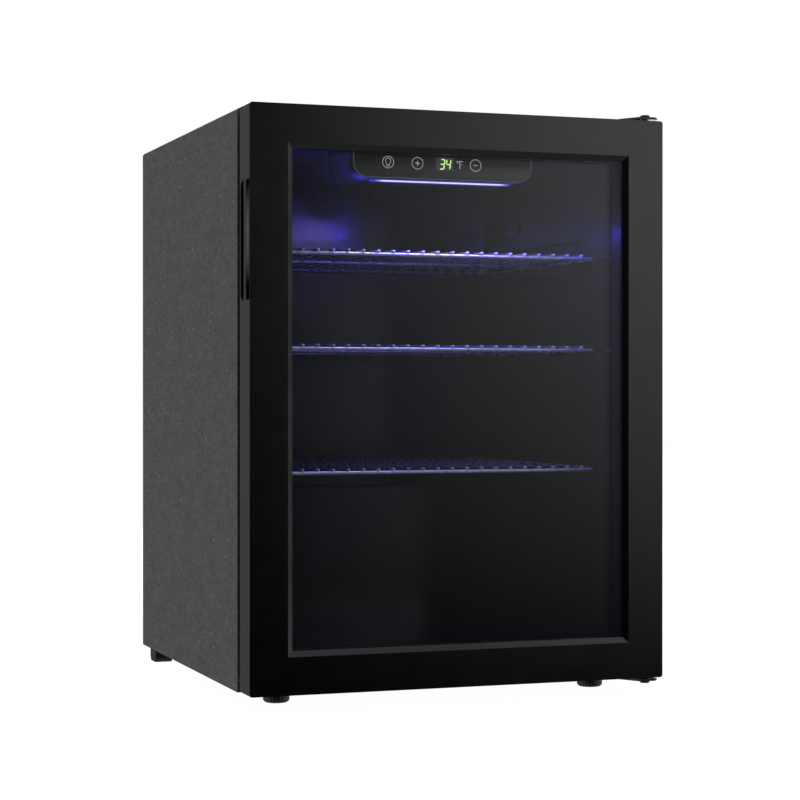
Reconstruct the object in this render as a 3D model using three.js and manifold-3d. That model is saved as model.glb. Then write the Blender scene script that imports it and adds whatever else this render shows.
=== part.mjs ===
// A mini fridge with a glass door, in millimetres.
// X runs to the right of a person who faces the door, Y runs back from the door, Z runs up.
// The origin is on the floor, under the middle of the fridge.

import * as THREE from "three";
import { mergeVertices } from "three/addons/utils/BufferGeometryUtils.js";
import Module from "manifold-3d";

const wasm = await Module();
wasm.setup();

// Overall sizes.
const WIDTH = 480;
const CABINET_DEPTH = 458;
const DOOR_HEIGHT = 624;
const DOOR_DEPTH = 38;
const SEAL_GAP = 11;
const FLOOR_GAP = 18;
const CABINET_DROP = 1;

// Gaps: between pieces that touch, round a shaft that turns, and round a pipe in its hole.
const CLEAR = 0.3;
const RUNNING = 0.15;
const PIPE_CLEAR = 0.5;

// Sheet steel of the cabinet.
const SHEET = 1;
const FLANGE = 14;
const SHELL_CORNER = 4;

// Insulated walls, measured from the outside to the inside of the cabinet.
const SIDE_WALL = 40;
const TOP_WALL = 36;
const BOTTOM_WALL = 44;
const BACK_WALL = 63.5;
const LINER_WALL = 2;
const LINER_CORNER = 4;

// Compressor bay, at the back below the insulated step.
const BAY_DEPTH = 150;
const BAY_HEIGHT = 165;
const STEP_FOAM = 36;

// Air duct behind its cover.
const DUCT_DEPTH = 43.5;
const DUCT_COVER = 2.5;
const DUCT_SLOT_WIDTH = 11;
const DUCT_SLOT_HEIGHT = 3;
const DUCT_SLOT_PITCH = 19;

// Fan.
const FAN_FRAME = 92;
const FAN_DEPTH = 25;
const FAN_HOLE_RADIUS = 42;
const FAN_HUB_RADIUS = 15;
const FAN_BLADES = 7;
const FAN_TIP_GAP = 2;

// Evaporator.
const EVAPORATOR_SIDE_GAP = 60;
const EVAPORATOR_HEIGHT = 190;
const EVAPORATOR_FINS = 9;
const EVAPORATOR_PASSES = 3;

// Control housing under the inside ceiling.
const CONTROL_SETBACK = 11;
const CONTROL_WIDTH = 212;
const CONTROL_HEIGHT = 32;
const CONTROL_DEPTH = 90;
const CONTROL_CORNER = 17;
const CONTROL_WALL = 2;
const CONTROL_RIM = 1.2;
const FASCIA = 2.5;
const KEY_RADIUS = 8;
const KEY_TRAVEL = 0.5;
const KEY_RISE = 17.5;
const LIGHT_KEY_X = -65.5;
const PLUS_KEY_X = -31;
const DISPLAY_X = 1.7;
const MINUS_KEY_X = 38;
const DISPLAY_WIDTH = 22;
const DISPLAY_HEIGHT = 15;
const LED_LENGTH = 164;
const LED_WIDTH = 12;
const LED_HEIGHT = 4;

// Wire shelves, by the height of each front bar above the inside floor.
const SHELF_HEIGHTS = { lower: 188, middle: 325, upper: 430 };
const SHELF_BAR = 5;
const SHELF_WIRE = 3;
const SHELF_WIRE_PITCH = 17.6;
const SHELF_SETBACK = 31;
const SHELF_SIDE_GAP = 4.5;
const SHELF_CORNER = 12;
const LEDGE_REACH = 12;
const LEDGE_HEIGHT = 14;
const LEDGE_SETBACK = 83;
const TIP_RIB_RISE = 24;
const TIP_RIB_HEIGHT = 9;

// Door.
const DOOR_CORNER = 3;
const SIDE_BORDER = 42;
const TOP_BORDER = 40.5;
const BEVEL = 6;
const DOOR_FACE = 4.5;
const DOOR_EDGE = 2.5;
const GLASS = 4;
const GLASS_SPACE = 12;
const GLASS_OVERLAP = 8;
const SPACER_WIDTH = 7;
const INNER_FRAME = 2;
const INNER_LIP = 3;
const GASKET_INSET = 14;
const GASKET_WIDTH = 20;
const GASKET_DART = 3;
const GASKET_DART_DEPTH = 6.8;

// Finger pull in the door's free edge.
const PULL_LOW = 417;
const PULL_HIGH = 544;
const PULL_FRONT = 17;
const PULL_BACK = 35.5;
const PULL_DEPTH = 17;
const PULL_SLOT_FRONT = 23;
const PULL_WALL = 1.2;
const PULL_CORNER = 8;
const SCOOP_WIDTH = 15.5;
const SCOOP_DEPTH = 2.4;

// Door hinges.
const PIN_INSET_X = 17;
const PIN_INSET_Y = 10.5;
const PIN_RADIUS = 3;
const PIN_HEAD_RADIUS = 5.5;
const PIN_HEAD = 2.4;
const PIN_GRIP = 10;
const BUSH_RADIUS = 5;
const BUSH_LENGTH = 12;
const BOSS_RADIUS = 8.5;
const BRACKET = 2.8;
const BRACKET_STEP = 1.3;
const BRACKET_LENGTH = 54;
const BRACKET_TAIL_WIDTH = 37;
const BRACKET_NOSE_WIDTH = 18;
const BRACKET_EDGE = 4;
const SCREW_RADIUS = 2;
const SCREW_HEAD_RADIUS = 4;
const SCREW_HEAD = 1.9;
const SCREW_LENGTH = 14;

// Feet.
const FOOT_RADIUS = 14.5;
const FOOT_PAD = 9;
const FOOT_COLLAR_RADIUS = 9;
const FOOT_COLLAR = 4;
const FOOT_STUD_RADIUS = 4;
const FOOT_STUD = 24;
const FOOT_INSET_X = 52.5;
const FOOT_INSET_Y = 32;
const REAR_FOOT_WIDTH = 22;
const REAR_FOOT_LENGTH = 29;
const REAR_FOOT_INSET_X = 4;
const REAR_FOOT_INSET_Y = 24.5;

// Compressor and what is round it.
const RAIL = 2;
const RAIL_LIP = 12;
const COMPRESSOR_X = -60;
const COMPRESSOR_RADIUS = 55;
const COMPRESSOR_PLATE = 2.5;
const COMPRESSOR_PLATE_LENGTH = 166;
const COMPRESSOR_PLATE_WIDTH = 96;
const GROMMET_HEIGHT = 11.5;
const GROMMET_RADIUS = 10;
const GROMMET_NECK_RADIUS = 5.5;
const STUB_RADIUS = 4;
const STUB_DROP = 25;
const RELAY_SIZE = 42;
const TRAY_WIDTH = 110;
const TRAY_LENGTH = 88;
const TRAY_HEIGHT = 15;
const TRAY_WALL = 1.6;
const TRAY_HEADROOM = 23.5;
const DRAIN_RADIUS = 6;
const DRAIN_BORE = 4.5;
const DRIER_RADIUS = 8;
const DRIER_LENGTH = 60;
const GLAND_RADIUS = 6.7;
const GLAND_FLANGE_RADIUS = 10;

// Refrigerant pipes.
const CONDENSER_RADIUS = 2.4;
const CONDENSER_PASSES = 5;
const CONDENSER_END = 150;
const SUCTION_RADIUS = 3.2;
const SUCTION_SIDE_GAP = 35;
const CAPILLARY_RADIUS = 1;
const CAPILLARY_SIDE_GAP = 18;
const BEND_RADIUS = 14;

// Planes that the sizes above fix.
const DEPTH = DOOR_DEPTH + SEAL_GAP + CABINET_DEPTH;
const HALF_WIDTH = WIDTH / 2;
const FRONT = -DEPTH / 2;
const BACK = DEPTH / 2;
const DOOR_BACK = FRONT + DOOR_DEPTH;
const CABINET_FRONT = DOOR_BACK + SEAL_GAP;
const DOOR_BOTTOM = FLOOR_GAP;
const DOOR_TOP = FLOOR_GAP + DOOR_HEIGHT;
const DOOR_MIDDLE = (DOOR_BOTTOM + DOOR_TOP) / 2;
const CABINET_BOTTOM = DOOR_BOTTOM - CABINET_DROP;
const CABINET_TOP = DOOR_TOP;
const SHELL_INSIDE = HALF_WIDTH - SHEET;
const FITTED_HALF = SHELL_INSIDE - CLEAR;
const INSIDE_HALF = HALF_WIDTH - SIDE_WALL;
const INSIDE_BOTTOM = CABINET_BOTTOM + BOTTOM_WALL;
const INSIDE_TOP = CABINET_TOP - TOP_WALL;
const INSIDE_BACK = BACK - BACK_WALL;
const BAY_FRONT = BACK - BAY_DEPTH;
const BAY_TOP = CABINET_BOTTOM + BAY_HEIGHT;
const STEP_FRONT = BAY_FRONT - SHEET - STEP_FOAM - LINER_WALL;
const STEP_TOP = BAY_TOP + SHEET + STEP_FOAM + LINER_WALL;
const COVER_FRONT = INSIDE_BACK - DUCT_DEPTH;
const COVER_BACK = COVER_FRONT + DUCT_COVER;
const CONTROL_FRONT = CABINET_FRONT + CONTROL_SETBACK;
const CONTROL_TOP = INSIDE_TOP - CLEAR;
const CONTROL_BOTTOM = CONTROL_TOP - CONTROL_HEIGHT;
const KEY_Z = CONTROL_BOTTOM + KEY_RISE;
const OPENING_HALF = HALF_WIDTH - SIDE_BORDER;
const OPENING_HALF_HEIGHT = DOOR_HEIGHT / 2 - TOP_BORDER;
const VISIBLE_HALF = OPENING_HALF - BEVEL;
const VISIBLE_HALF_HEIGHT = OPENING_HALF_HEIGHT - BEVEL;
const GLASS_HALF = VISIBLE_HALF + GLASS_OVERLAP;
const GLASS_HALF_HEIGHT = VISIBLE_HALF_HEIGHT + GLASS_OVERLAP;
const OUTER_GLASS_FRONT = FRONT + DOOR_FACE + CLEAR;
const SPACER_FRONT = OUTER_GLASS_FRONT + GLASS + CLEAR;
const INNER_GLASS_FRONT = SPACER_FRONT + GLASS_SPACE + CLEAR;
const INNER_GLASS_BACK = INNER_GLASS_FRONT + GLASS;
const GASKET_MIDDLE = HALF_WIDTH - GASKET_INSET - GASKET_WIDTH / 2;
const GASKET_MIDDLE_HEIGHT = DOOR_HEIGHT / 2 - GASKET_INSET - GASKET_WIDTH / 2;
const PIN_X = HALF_WIDTH - PIN_INSET_X;
const PIN_Y = FRONT + PIN_INSET_Y;
const BRACKET_OUTER = HALF_WIDTH - BRACKET_EDGE;
const BRACKET_BACK = CABINET_FRONT + BRACKET_LENGTH;
const BRACKET_FRONT = FRONT + 2;
const TOP_BRACKET_BOTTOM = CABINET_TOP + CLEAR;
const BOTTOM_BRACKET_TOP = CABINET_BOTTOM - CLEAR;
const RAIL_BOTTOM = CABINET_BOTTOM;
const RAIL_TOP = RAIL_BOTTOM + RAIL;
const RAIL_BACK = BACK - 3.5;
const COMPRESSOR_Y = (BAY_FRONT + BACK) / 2;
const COMPRESSOR_BOTTOM = RAIL_TOP + GROMMET_HEIGHT;
const COMPRESSOR_TOP = BAY_TOP - TRAY_HEADROOM - TRAY_HEIGHT;
const COMPRESSOR_HEIGHT = COMPRESSOR_TOP - COMPRESSOR_BOTTOM;
const PIPE_Y = COMPRESSOR_Y + COMPRESSOR_RADIUS / 2;
const PIPE_Z = COMPRESSOR_TOP - STUB_DROP;
const DRAIN_X = COMPRESSOR_X;
const DRAIN_Y = (COVER_BACK + INSIDE_BACK) / 2;
const CONDENSER_X = SHELL_INSIDE - CLEAR - CONDENSER_RADIUS;
const DRIER_X = SHELL_INSIDE - CLEAR - DRIER_RADIUS - BEND_RADIUS;
const DRIER_TOP = CONDENSER_END - BEND_RADIUS - 16;
const SUCTION_X = INSIDE_HALF - SUCTION_SIDE_GAP;
const CAPILLARY_X = INSIDE_HALF - CAPILLARY_SIDE_GAP;
const EVAPORATOR_WIDTH = 2 * (INSIDE_HALF - EVAPORATOR_SIDE_GAP);
const EVAPORATOR_BOTTOM = STEP_TOP + 38;
const EVAPORATOR_FRONT = COVER_BACK + 4;
const EVAPORATOR_BACK = INSIDE_BACK - 4;
const EVAPORATOR_Y = (EVAPORATOR_FRONT + EVAPORATOR_BACK) / 2;
const FAN_Z = INSIDE_TOP - 18 - FAN_FRAME / 2;
const FAN_FRONT = COVER_BACK + CLEAR;

// Materials.
const finish = (color, roughness, metalness) =>
  new THREE.MeshStandardMaterial({ color, roughness, metalness });
const pebbledSteel = () => finish(0x4b4b4c, 0.55, 0.3);
const galvanisedSteel = () => finish(0x9a9c9e, 0.45, 0.8);
const blackSteel = () => finish(0x141415, 0.4, 0.6);
const blackPlastic = () => finish(0x1b1b1c, 0.42, 0);
const glossBlack = () => finish(0x0d0d0e, 0.12, 0);
const linerPlastic = () => finish(0x101013, 0.3, 0);
const foam = () => finish(0xe3cf8f, 0.95, 0);
const coatedWire = () => finish(0x6c6e72, 0.35, 0.7);
const rubber = () => finish(0x161616, 0.8, 0);
const copper = () => finish(0xb4683c, 0.35, 1);
const aluminium = () => finish(0xc3c6c9, 0.4, 0.9);
const board = () => finish(0x1f5a34, 0.5, 0);
const lightDiffuser = () => finish(0xb9bdff, 0.3, 0);
const acetal = () => finish(0xe9e7e0, 0.4, 0);

function clearGlass() {
  const material = finish(0xa9b4b8, 0.05, 0);
  material.transparent = true;
  material.opacity = 0.3;
  return material;
}

// Solids from geometries, and geometries from solids.
function solidOf(geometry) {
  const bare = geometry.clone();
  bare.deleteAttribute("normal");
  bare.deleteAttribute("uv");
  const merged = mergeVertices(bare, 1e-4);
  const mesh = new wasm.Mesh({
    numProp: 3,
    vertProperties: new Float32Array(merged.attributes.position.array),
    triVerts: new Uint32Array(merged.index.array),
  });
  return new wasm.Manifold(mesh);
}

function geometryOf(solid) {
  const mesh = solid.getMesh();
  const geometry = new THREE.BufferGeometry();
  geometry.setAttribute("position", new THREE.BufferAttribute(mesh.vertProperties, 3));
  geometry.setIndex(new THREE.BufferAttribute(mesh.triVerts, 1));
  return geometry;
}

function join(first, ...others) {
  const joined = others.reduce((sum, next) => sum.add(solidOf(next)), solidOf(first));
  return geometryOf(joined);
}

function cut(first, ...others) {
  const left = others.reduce((rest, next) => rest.subtract(solidOf(next)), solidOf(first));
  return geometryOf(left);
}

function common(first, second) {
  return geometryOf(solidOf(first).intersect(solidOf(second)));
}

// Shapes.
function box(x0, x1, y0, y1, z0, z1) {
  const block = new THREE.BoxGeometry(x1 - x0, y1 - y0, z1 - z0);
  return block.translate((x0 + x1) / 2, (y0 + y1) / 2, (z0 + z1) / 2);
}

function polygon(points) {
  return new THREE.Shape(points.map(([u, v]) => new THREE.Vector2(u, v)));
}

function regularPolygon(radius, sides) {
  const corners = Array.from({ length: sides }, (_, i) => {
    const angle = ((i + 0.5) * 2 * Math.PI) / sides;
    return [radius * Math.cos(angle), radius * Math.sin(angle)];
  });
  return polygon(corners);
}

function roundedRectangle(u0, u1, v0, v1, radius) {
  const shape = new THREE.Shape();
  shape.moveTo(u0 + radius, v0);
  shape.lineTo(u1 - radius, v0);
  shape.absarc(u1 - radius, v0 + radius, radius, -Math.PI / 2, 0);
  shape.lineTo(u1, v1 - radius);
  shape.absarc(u1 - radius, v1 - radius, radius, 0, Math.PI / 2);
  shape.lineTo(u0 + radius, v1);
  shape.absarc(u0 + radius, v1 - radius, radius, Math.PI / 2, Math.PI);
  shape.lineTo(u0, v0 + radius);
  shape.absarc(u0 + radius, v0 + radius, radius, Math.PI, 1.5 * Math.PI);
  return shape;
}

// A rectangle whose lower corners only are round.
function trough(halfWidth, bottom, top, radius) {
  const shape = new THREE.Shape();
  shape.moveTo(-halfWidth + radius, bottom);
  shape.lineTo(halfWidth - radius, bottom);
  shape.absarc(halfWidth - radius, bottom + radius, radius, -Math.PI / 2, 0);
  shape.lineTo(halfWidth, top);
  shape.lineTo(-halfWidth, top);
  shape.lineTo(-halfWidth, bottom + radius);
  shape.absarc(-halfWidth + radius, bottom + radius, radius, Math.PI, 1.5 * Math.PI);
  return shape;
}

const CURVE_STEPS = 3;

function extruded(shape, depth) {
  return new THREE.ExtrudeGeometry(shape, {
    depth,
    bevelEnabled: false,
    curveSegments: CURVE_STEPS,
  });
}

// A shape drawn in X and Y, from z0 to z1.
function alongZ(shape, z0, z1) {
  return extruded(shape, z1 - z0).translate(0, 0, z0);
}

// A shape drawn in X and Z, from y0 to y1.
function alongY(shape, y0, y1) {
  return extruded(shape, y1 - y0)
    .rotateX(Math.PI / 2)
    .translate(0, y1, 0);
}

// A shape drawn in Y and Z, from x0 to x1.
function alongX(shape, x0, x1) {
  const turn = new THREE.Matrix4().makeBasis(
    new THREE.Vector3(0, 1, 0),
    new THREE.Vector3(0, 0, 1),
    new THREE.Vector3(1, 0, 0),
  );
  return extruded(shape, x1 - x0)
    .applyMatrix4(turn)
    .translate(x0, 0, 0);
}

const ROUND = 20;

function upright(x, y, z0, z1, radius, sides = ROUND) {
  return new THREE.CylinderGeometry(radius, radius, z1 - z0, sides)
    .rotateX(Math.PI / 2)
    .translate(x, y, (z0 + z1) / 2);
}

function lyingAlongX(x0, x1, y, z, radius, sides = ROUND) {
  return new THREE.CylinderGeometry(radius, radius, x1 - x0, sides)
    .rotateZ(Math.PI / 2)
    .translate((x0 + x1) / 2, y, z);
}

function lyingAlongY(x, y0, y1, z, radius, sides = ROUND) {
  return new THREE.CylinderGeometry(radius, radius, y1 - y0, sides).translate(x, (y0 + y1) / 2, z);
}

// A profile of [radius, height] pairs turned about a vertical axis, from its lower end up.
function turned(profile, x, y, sides = ROUND) {
  const points = profile.map(([radius, height]) => new THREE.Vector2(radius, height));
  return new THREE.LatheGeometry(points, sides).rotateX(Math.PI / 2).translate(x, y, 0);
}

// A flat frame in the door's plane, round the door's middle height.
function doorRing(outerHalf, outerHalfHeight, innerHalf, innerHalfHeight, y0, y1) {
  const outer = box(
    -outerHalf,
    outerHalf,
    y0,
    y1,
    DOOR_MIDDLE - outerHalfHeight,
    DOOR_MIDDLE + outerHalfHeight,
  );
  const inner = box(
    -innerHalf,
    innerHalf,
    y0 - 1,
    y1 + 1,
    DOOR_MIDDLE - innerHalfHeight,
    DOOR_MIDDLE + innerHalfHeight,
  );
  return cut(outer, inner);
}

// A pipe's centre line: its points are used one by one, so a straight run takes one step.
class Route extends THREE.Curve {
  constructor(points) {
    super();
    this.points = points;
  }

  indexAt(t) {
    return Math.round(t * (this.points.length - 1));
  }

  getPoint(t, target = new THREE.Vector3()) {
    return target.copy(this.points[this.indexAt(t)]);
  }

  getPointAt(t, target) {
    return this.getPoint(t, target);
  }

  getTangentAt(t, target = new THREE.Vector3()) {
    const at = this.indexAt(t);
    const here = this.points[at];
    const before = this.points[Math.max(at - 1, 0)];
    const after = this.points[Math.min(at + 1, this.points.length - 1)];
    const arriving = here.clone().sub(before).normalize();
    const leaving = after.clone().sub(here).normalize();
    return target.copy(arriving).add(leaving).normalize();
  }
}

const BEND_STEPS = 2;

// Corners of a pipe's route, each [x, y, z], rounded into bends.
function bent(corners, bendRadius) {
  const points = corners.map((corner) => new THREE.Vector3(...corner));
  const route = [points[0]];
  points.slice(1, -1).forEach((corner, i) => {
    const back = points[i].clone().sub(corner).setLength(bendRadius);
    const on = points[i + 2].clone().sub(corner).setLength(bendRadius);
    const bend = new THREE.QuadraticBezierCurve3(
      corner.clone().add(back),
      corner,
      corner.clone().add(on),
    );
    route.push(...bend.getPoints(BEND_STEPS));
  });
  route.push(points.at(-1));
  return route;
}

const PIPE_SIDES = 6;

function pipe(corners, radius, bendRadius = BEND_RADIUS) {
  const points = bent(corners, bendRadius);
  return new THREE.ExtrudeGeometry(regularPolygon(radius, PIPE_SIDES), {
    steps: points.length - 1,
    bevelEnabled: false,
    extrudePath: new Route(points),
  });
}

// Routes of the pipes.
const suctionRoute = [
  [SUCTION_X, EVAPORATOR_Y, EVAPORATOR_BOTTOM - 12],
  [SUCTION_X, PIPE_Y, EVAPORATOR_BOTTOM - 12],
  [SUCTION_X, PIPE_Y, PIPE_Z],
  [COMPRESSOR_X + COMPRESSOR_RADIUS + 12, PIPE_Y, PIPE_Z],
];
const dischargeRoute = [
  [COMPRESSOR_X - COMPRESSOR_RADIUS - 12, PIPE_Y, PIPE_Z],
  [-CONDENSER_X, PIPE_Y, PIPE_Z],
  [-CONDENSER_X, PIPE_Y, CONDENSER_END - CLEAR],
];
const capillaryRoute = [
  [DRIER_X, PIPE_Y, DRIER_TOP - DRIER_LENGTH - 8],
  [DRIER_X, PIPE_Y, DRIER_TOP - DRIER_LENGTH - 26],
  [CAPILLARY_X, PIPE_Y, DRIER_TOP - DRIER_LENGTH - 26],
  [CAPILLARY_X, PIPE_Y, EVAPORATOR_BOTTOM + 12],
  [CAPILLARY_X, EVAPORATOR_Y, EVAPORATOR_BOTTOM + 12],
];
const CAPILLARY_BEND = 8;

function condenserRoute() {
  const low = BAY_TOP + 40;
  const high = CABINET_TOP - 40;
  const near = CABINET_FRONT + 40;
  const rise = (high - low) / (CONDENSER_PASSES - 1);
  const climb = [];
  for (let pass = 0; pass < CONDENSER_PASSES; pass += 1) {
    const z = low + pass * rise;
    const leavesForward = pass % 2 === 0;
    climb.push([leavesForward ? PIPE_Y : near, z]);
    climb.push([leavesForward ? near : PIPE_Y, z]);
  }
  const left = climb.map(([y, z]) => [-CONDENSER_X, y, z]);
  const right = climb.map(([y, z]) => [CONDENSER_X, y, z]).reverse();
  const lid = CABINET_TOP - SHEET - CLEAR - CONDENSER_RADIUS;
  return [
    [-CONDENSER_X, PIPE_Y, CONDENSER_END],
    ...left,
    [-CONDENSER_X, near, lid],
    [CONDENSER_X, near, lid],
    ...right,
    [CONDENSER_X, PIPE_Y, CONDENSER_END],
    [DRIER_X, PIPE_Y, CONDENSER_END],
    [DRIER_X, PIPE_Y, DRIER_TOP + 8 + CLEAR],
  ];
}

// Cabinet.
function shellOutline(inset) {
  const half = HALF_WIDTH - inset;
  const bottom = inset ? CABINET_BOTTOM - 1 : CABINET_BOTTOM;
  const top = CABINET_TOP - inset;
  const radius = Math.max(SHELL_CORNER - inset, 1);
  const shape = new THREE.Shape();
  shape.moveTo(-half, bottom);
  shape.lineTo(half, bottom);
  shape.lineTo(half, top - radius);
  shape.absarc(half - radius, top - radius, radius, 0, Math.PI / 2);
  shape.lineTo(-half + radius, top);
  shape.absarc(-half + radius, top - radius, radius, Math.PI / 2, Math.PI);
  return shape;
}

const topScrews = [
  [BRACKET_OUTER - 8, BRACKET_BACK - 8],
  [BRACKET_OUTER - 29, BRACKET_BACK - 8],
  [BRACKET_OUTER - 18.5, BRACKET_BACK - 30],
];
const bottomScrews = [
  [BRACKET_OUTER - 8, BRACKET_BACK - 24],
  [BRACKET_OUTER - 20, BRACKET_BACK - 38],
];

function screwHoles(places, z0, z1, clearance) {
  return places.map(([x, y]) => upright(x, y, z0, z1, SCREW_RADIUS + clearance, 12));
}

function outerShell() {
  return cut(
    alongY(shellOutline(0), CABINET_FRONT, BACK),
    alongY(shellOutline(SHEET), CABINET_FRONT + SHEET, BACK - SHEET),
    alongY(shellOutline(FLANGE), CABINET_FRONT - 1, BACK + 1),
    ...screwHoles(topScrews, CABINET_TOP - 3, CABINET_TOP + 1, CLEAR),
  );
}

function footHoles(z0, z1) {
  return [-1, 1].map((side) =>
    upright(side * (HALF_WIDTH - FOOT_INSET_X), CABINET_FRONT + FOOT_INSET_Y, z0, z1, FOOT_STUD_RADIUS + 1),
  );
}

function pipeHoles(spare) {
  return [
    pipe(suctionRoute, SUCTION_RADIUS + spare),
    pipe(capillaryRoute, CAPILLARY_RADIUS + spare, CAPILLARY_BEND),
    pipe(condenserRoute(), CONDENSER_RADIUS + spare),
    upright(DRAIN_X, DRAIN_Y, BAY_TOP - 2, STEP_TOP - LINER_WALL, DRAIN_RADIUS + spare),
  ];
}

function basePlate() {
  const front = CABINET_FRONT + SHEET + CLEAR;
  const rear = BACK - 4.5;
  const profile = polygon([
    [front, CABINET_BOTTOM],
    [BAY_FRONT, CABINET_BOTTOM],
    [BAY_FRONT, BAY_TOP],
    [rear, BAY_TOP],
    [rear, BAY_TOP + SHEET],
    [BAY_FRONT - SHEET, BAY_TOP + SHEET],
    [BAY_FRONT - SHEET, CABINET_BOTTOM + SHEET],
    [front, CABINET_BOTTOM + SHEET],
  ]);
  const half = HALF_WIDTH - FLANGE - CLEAR;
  const lip = join(
    box(-half, half, CABINET_FRONT, front + 1, CABINET_BOTTOM, CABINET_BOTTOM + SHEET),
    box(-half, half, CABINET_FRONT, CABINET_FRONT + SHEET, CABINET_BOTTOM, CABINET_BOTTOM + FLANGE),
  );
  const sheet = join(alongX(profile, -FITTED_HALF, FITTED_HALF), lip);
  return cut(
    sheet,
    ...footHoles(CABINET_BOTTOM - 1, CABINET_BOTTOM + 2),
    ...screwHoles(bottomScrews, CABINET_BOTTOM - 1, CABINET_BOTTOM + 3, CLEAR),
    ...pipeHoles(PIPE_CLEAR),
  );
}

// The liner's envelope: the room inside grown by some thickness, with the step over the bay left out.
function linerEnvelope(growth, front) {
  const outline = roundedRectangle(
    -INSIDE_HALF - growth,
    INSIDE_HALF + growth,
    INSIDE_BOTTOM - growth,
    INSIDE_TOP + growth,
    LINER_CORNER + growth,
  );
  return cut(
    alongY(outline, front, INSIDE_BACK + growth),
    box(-WIDTH, WIDTH, STEP_FRONT + growth, BACK, 0, STEP_TOP - growth),
  );
}

function shelfZ(name) {
  return INSIDE_BOTTOM + SHELF_HEIGHTS[name];
}

const shelfNames = Object.keys(SHELF_HEIGHTS);
const SHELF_BACK = COVER_FRONT - 3;

function ledges() {
  const front = CABINET_FRONT + LEDGE_SETBACK;
  const rear = COVER_FRONT - CLEAR;
  const inner = INSIDE_HALF - LEDGE_REACH;
  const outer = INSIDE_HALF + 1;
  return shelfNames.flatMap((name) => {
    const top = shelfZ(name) - SHELF_BAR / 2 - CLEAR;
    const rib = shelfZ(name) + TIP_RIB_RISE;
    return [
      box(inner, outer, front, rear, top - LEDGE_HEIGHT, top),
      box(-outer, -inner, front, rear, top - LEDGE_HEIGHT, top),
      box(inner, outer, front, rear, rib, rib + TIP_RIB_HEIGHT),
      box(-outer, -inner, front, rear, rib, rib + TIP_RIB_HEIGHT),
    ];
  });
}

function innerLiner() {
  const half = HALF_WIDTH - FLANGE - CLEAR;
  const flange = box(
    -half,
    half,
    CABINET_FRONT,
    CABINET_FRONT + LINER_WALL,
    CABINET_BOTTOM + FLANGE + CLEAR,
    CABINET_TOP - FLANGE - CLEAR,
  );
  const hollow = cut(
    join(flange, linerEnvelope(LINER_WALL, CABINET_FRONT)),
    linerEnvelope(0, CABINET_FRONT - 1),
    pipe(suctionRoute, SUCTION_RADIUS + PIPE_CLEAR),
    pipe(capillaryRoute, CAPILLARY_RADIUS + PIPE_CLEAR, CAPILLARY_BEND),
    upright(DRAIN_X, DRAIN_Y, STEP_TOP - LINER_WALL - 1, STEP_TOP + 1, DRAIN_BORE),
  );
  return join(hollow, ...ledges());
}

function insulation() {
  const outline = roundedRectangle(
    -FITTED_HALF + CLEAR,
    FITTED_HALF - CLEAR,
    CABINET_BOTTOM + SHEET + CLEAR,
    CABINET_TOP - SHEET - CLEAR,
    SHELL_CORNER,
  );
  const block = alongY(outline, CABINET_FRONT + LINER_WALL + CLEAR, BACK - 2.9);
  return cut(
    block,
    box(-WIDTH, WIDTH, BAY_FRONT - SHEET - CLEAR, BACK, 0, BAY_TOP + SHEET + CLEAR),
    linerEnvelope(LINER_WALL + CLEAR, CABINET_FRONT - 1),
    ...footHoles(CABINET_BOTTOM, CABINET_BOTTOM + FOOT_STUD),
    ...screwHoles(topScrews, CABINET_TOP - SCREW_LENGTH - 2, CABINET_TOP + 1, CLEAR * 2),
    ...screwHoles(bottomScrews, CABINET_BOTTOM, CABINET_BOTTOM + SCREW_LENGTH + 2, CLEAR * 2),
    ...pipeHoles(CLEAR * 1.5),
  );
}

function backPanel() {
  const outline = roundedRectangle(
    -FITTED_HALF + CLEAR,
    FITTED_HALF - CLEAR,
    BAY_TOP + 2,
    CABINET_TOP - SHEET - CLEAR,
    SHELL_CORNER,
  );
  return alongY(outline, BACK - 2.6, BACK - SHEET - CLEAR);
}

// Inside.
function ductCover() {
  const half = INSIDE_HALF - LEDGE_REACH - 2;
  const bottom = STEP_TOP + CLEAR;
  const panel = join(
    box(-half, half, COVER_FRONT, COVER_BACK, bottom, INSIDE_TOP - CLEAR),
    box(-half, -half + DUCT_COVER, COVER_FRONT, INSIDE_BACK - CLEAR, bottom, INSIDE_TOP - LINER_CORNER),
    box(half - DUCT_COVER, half, COVER_FRONT, INSIDE_BACK - CLEAR, bottom, INSIDE_TOP - LINER_CORNER),
  );
  const slots = [];
  const count = 2 * Math.floor((half - DUCT_SLOT_PITCH) / DUCT_SLOT_PITCH) + 1;
  for (let i = 0; i < count; i += 1) {
    const x = (i - (count - 1) / 2) * DUCT_SLOT_PITCH;
    const x0 = x - DUCT_SLOT_WIDTH / 2;
    const x1 = x + DUCT_SLOT_WIDTH / 2;
    const high = INSIDE_TOP - 22;
    const low = bottom + 18;
    slots.push(box(x0, x1, COVER_FRONT - 1, COVER_BACK + 1, high, high + DUCT_SLOT_HEIGHT));
    slots.push(box(x0, x1, COVER_FRONT - 1, COVER_BACK + 1, low, low + DUCT_SLOT_HEIGHT * 2));
  }
  return cut(panel, ...slots);
}

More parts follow.
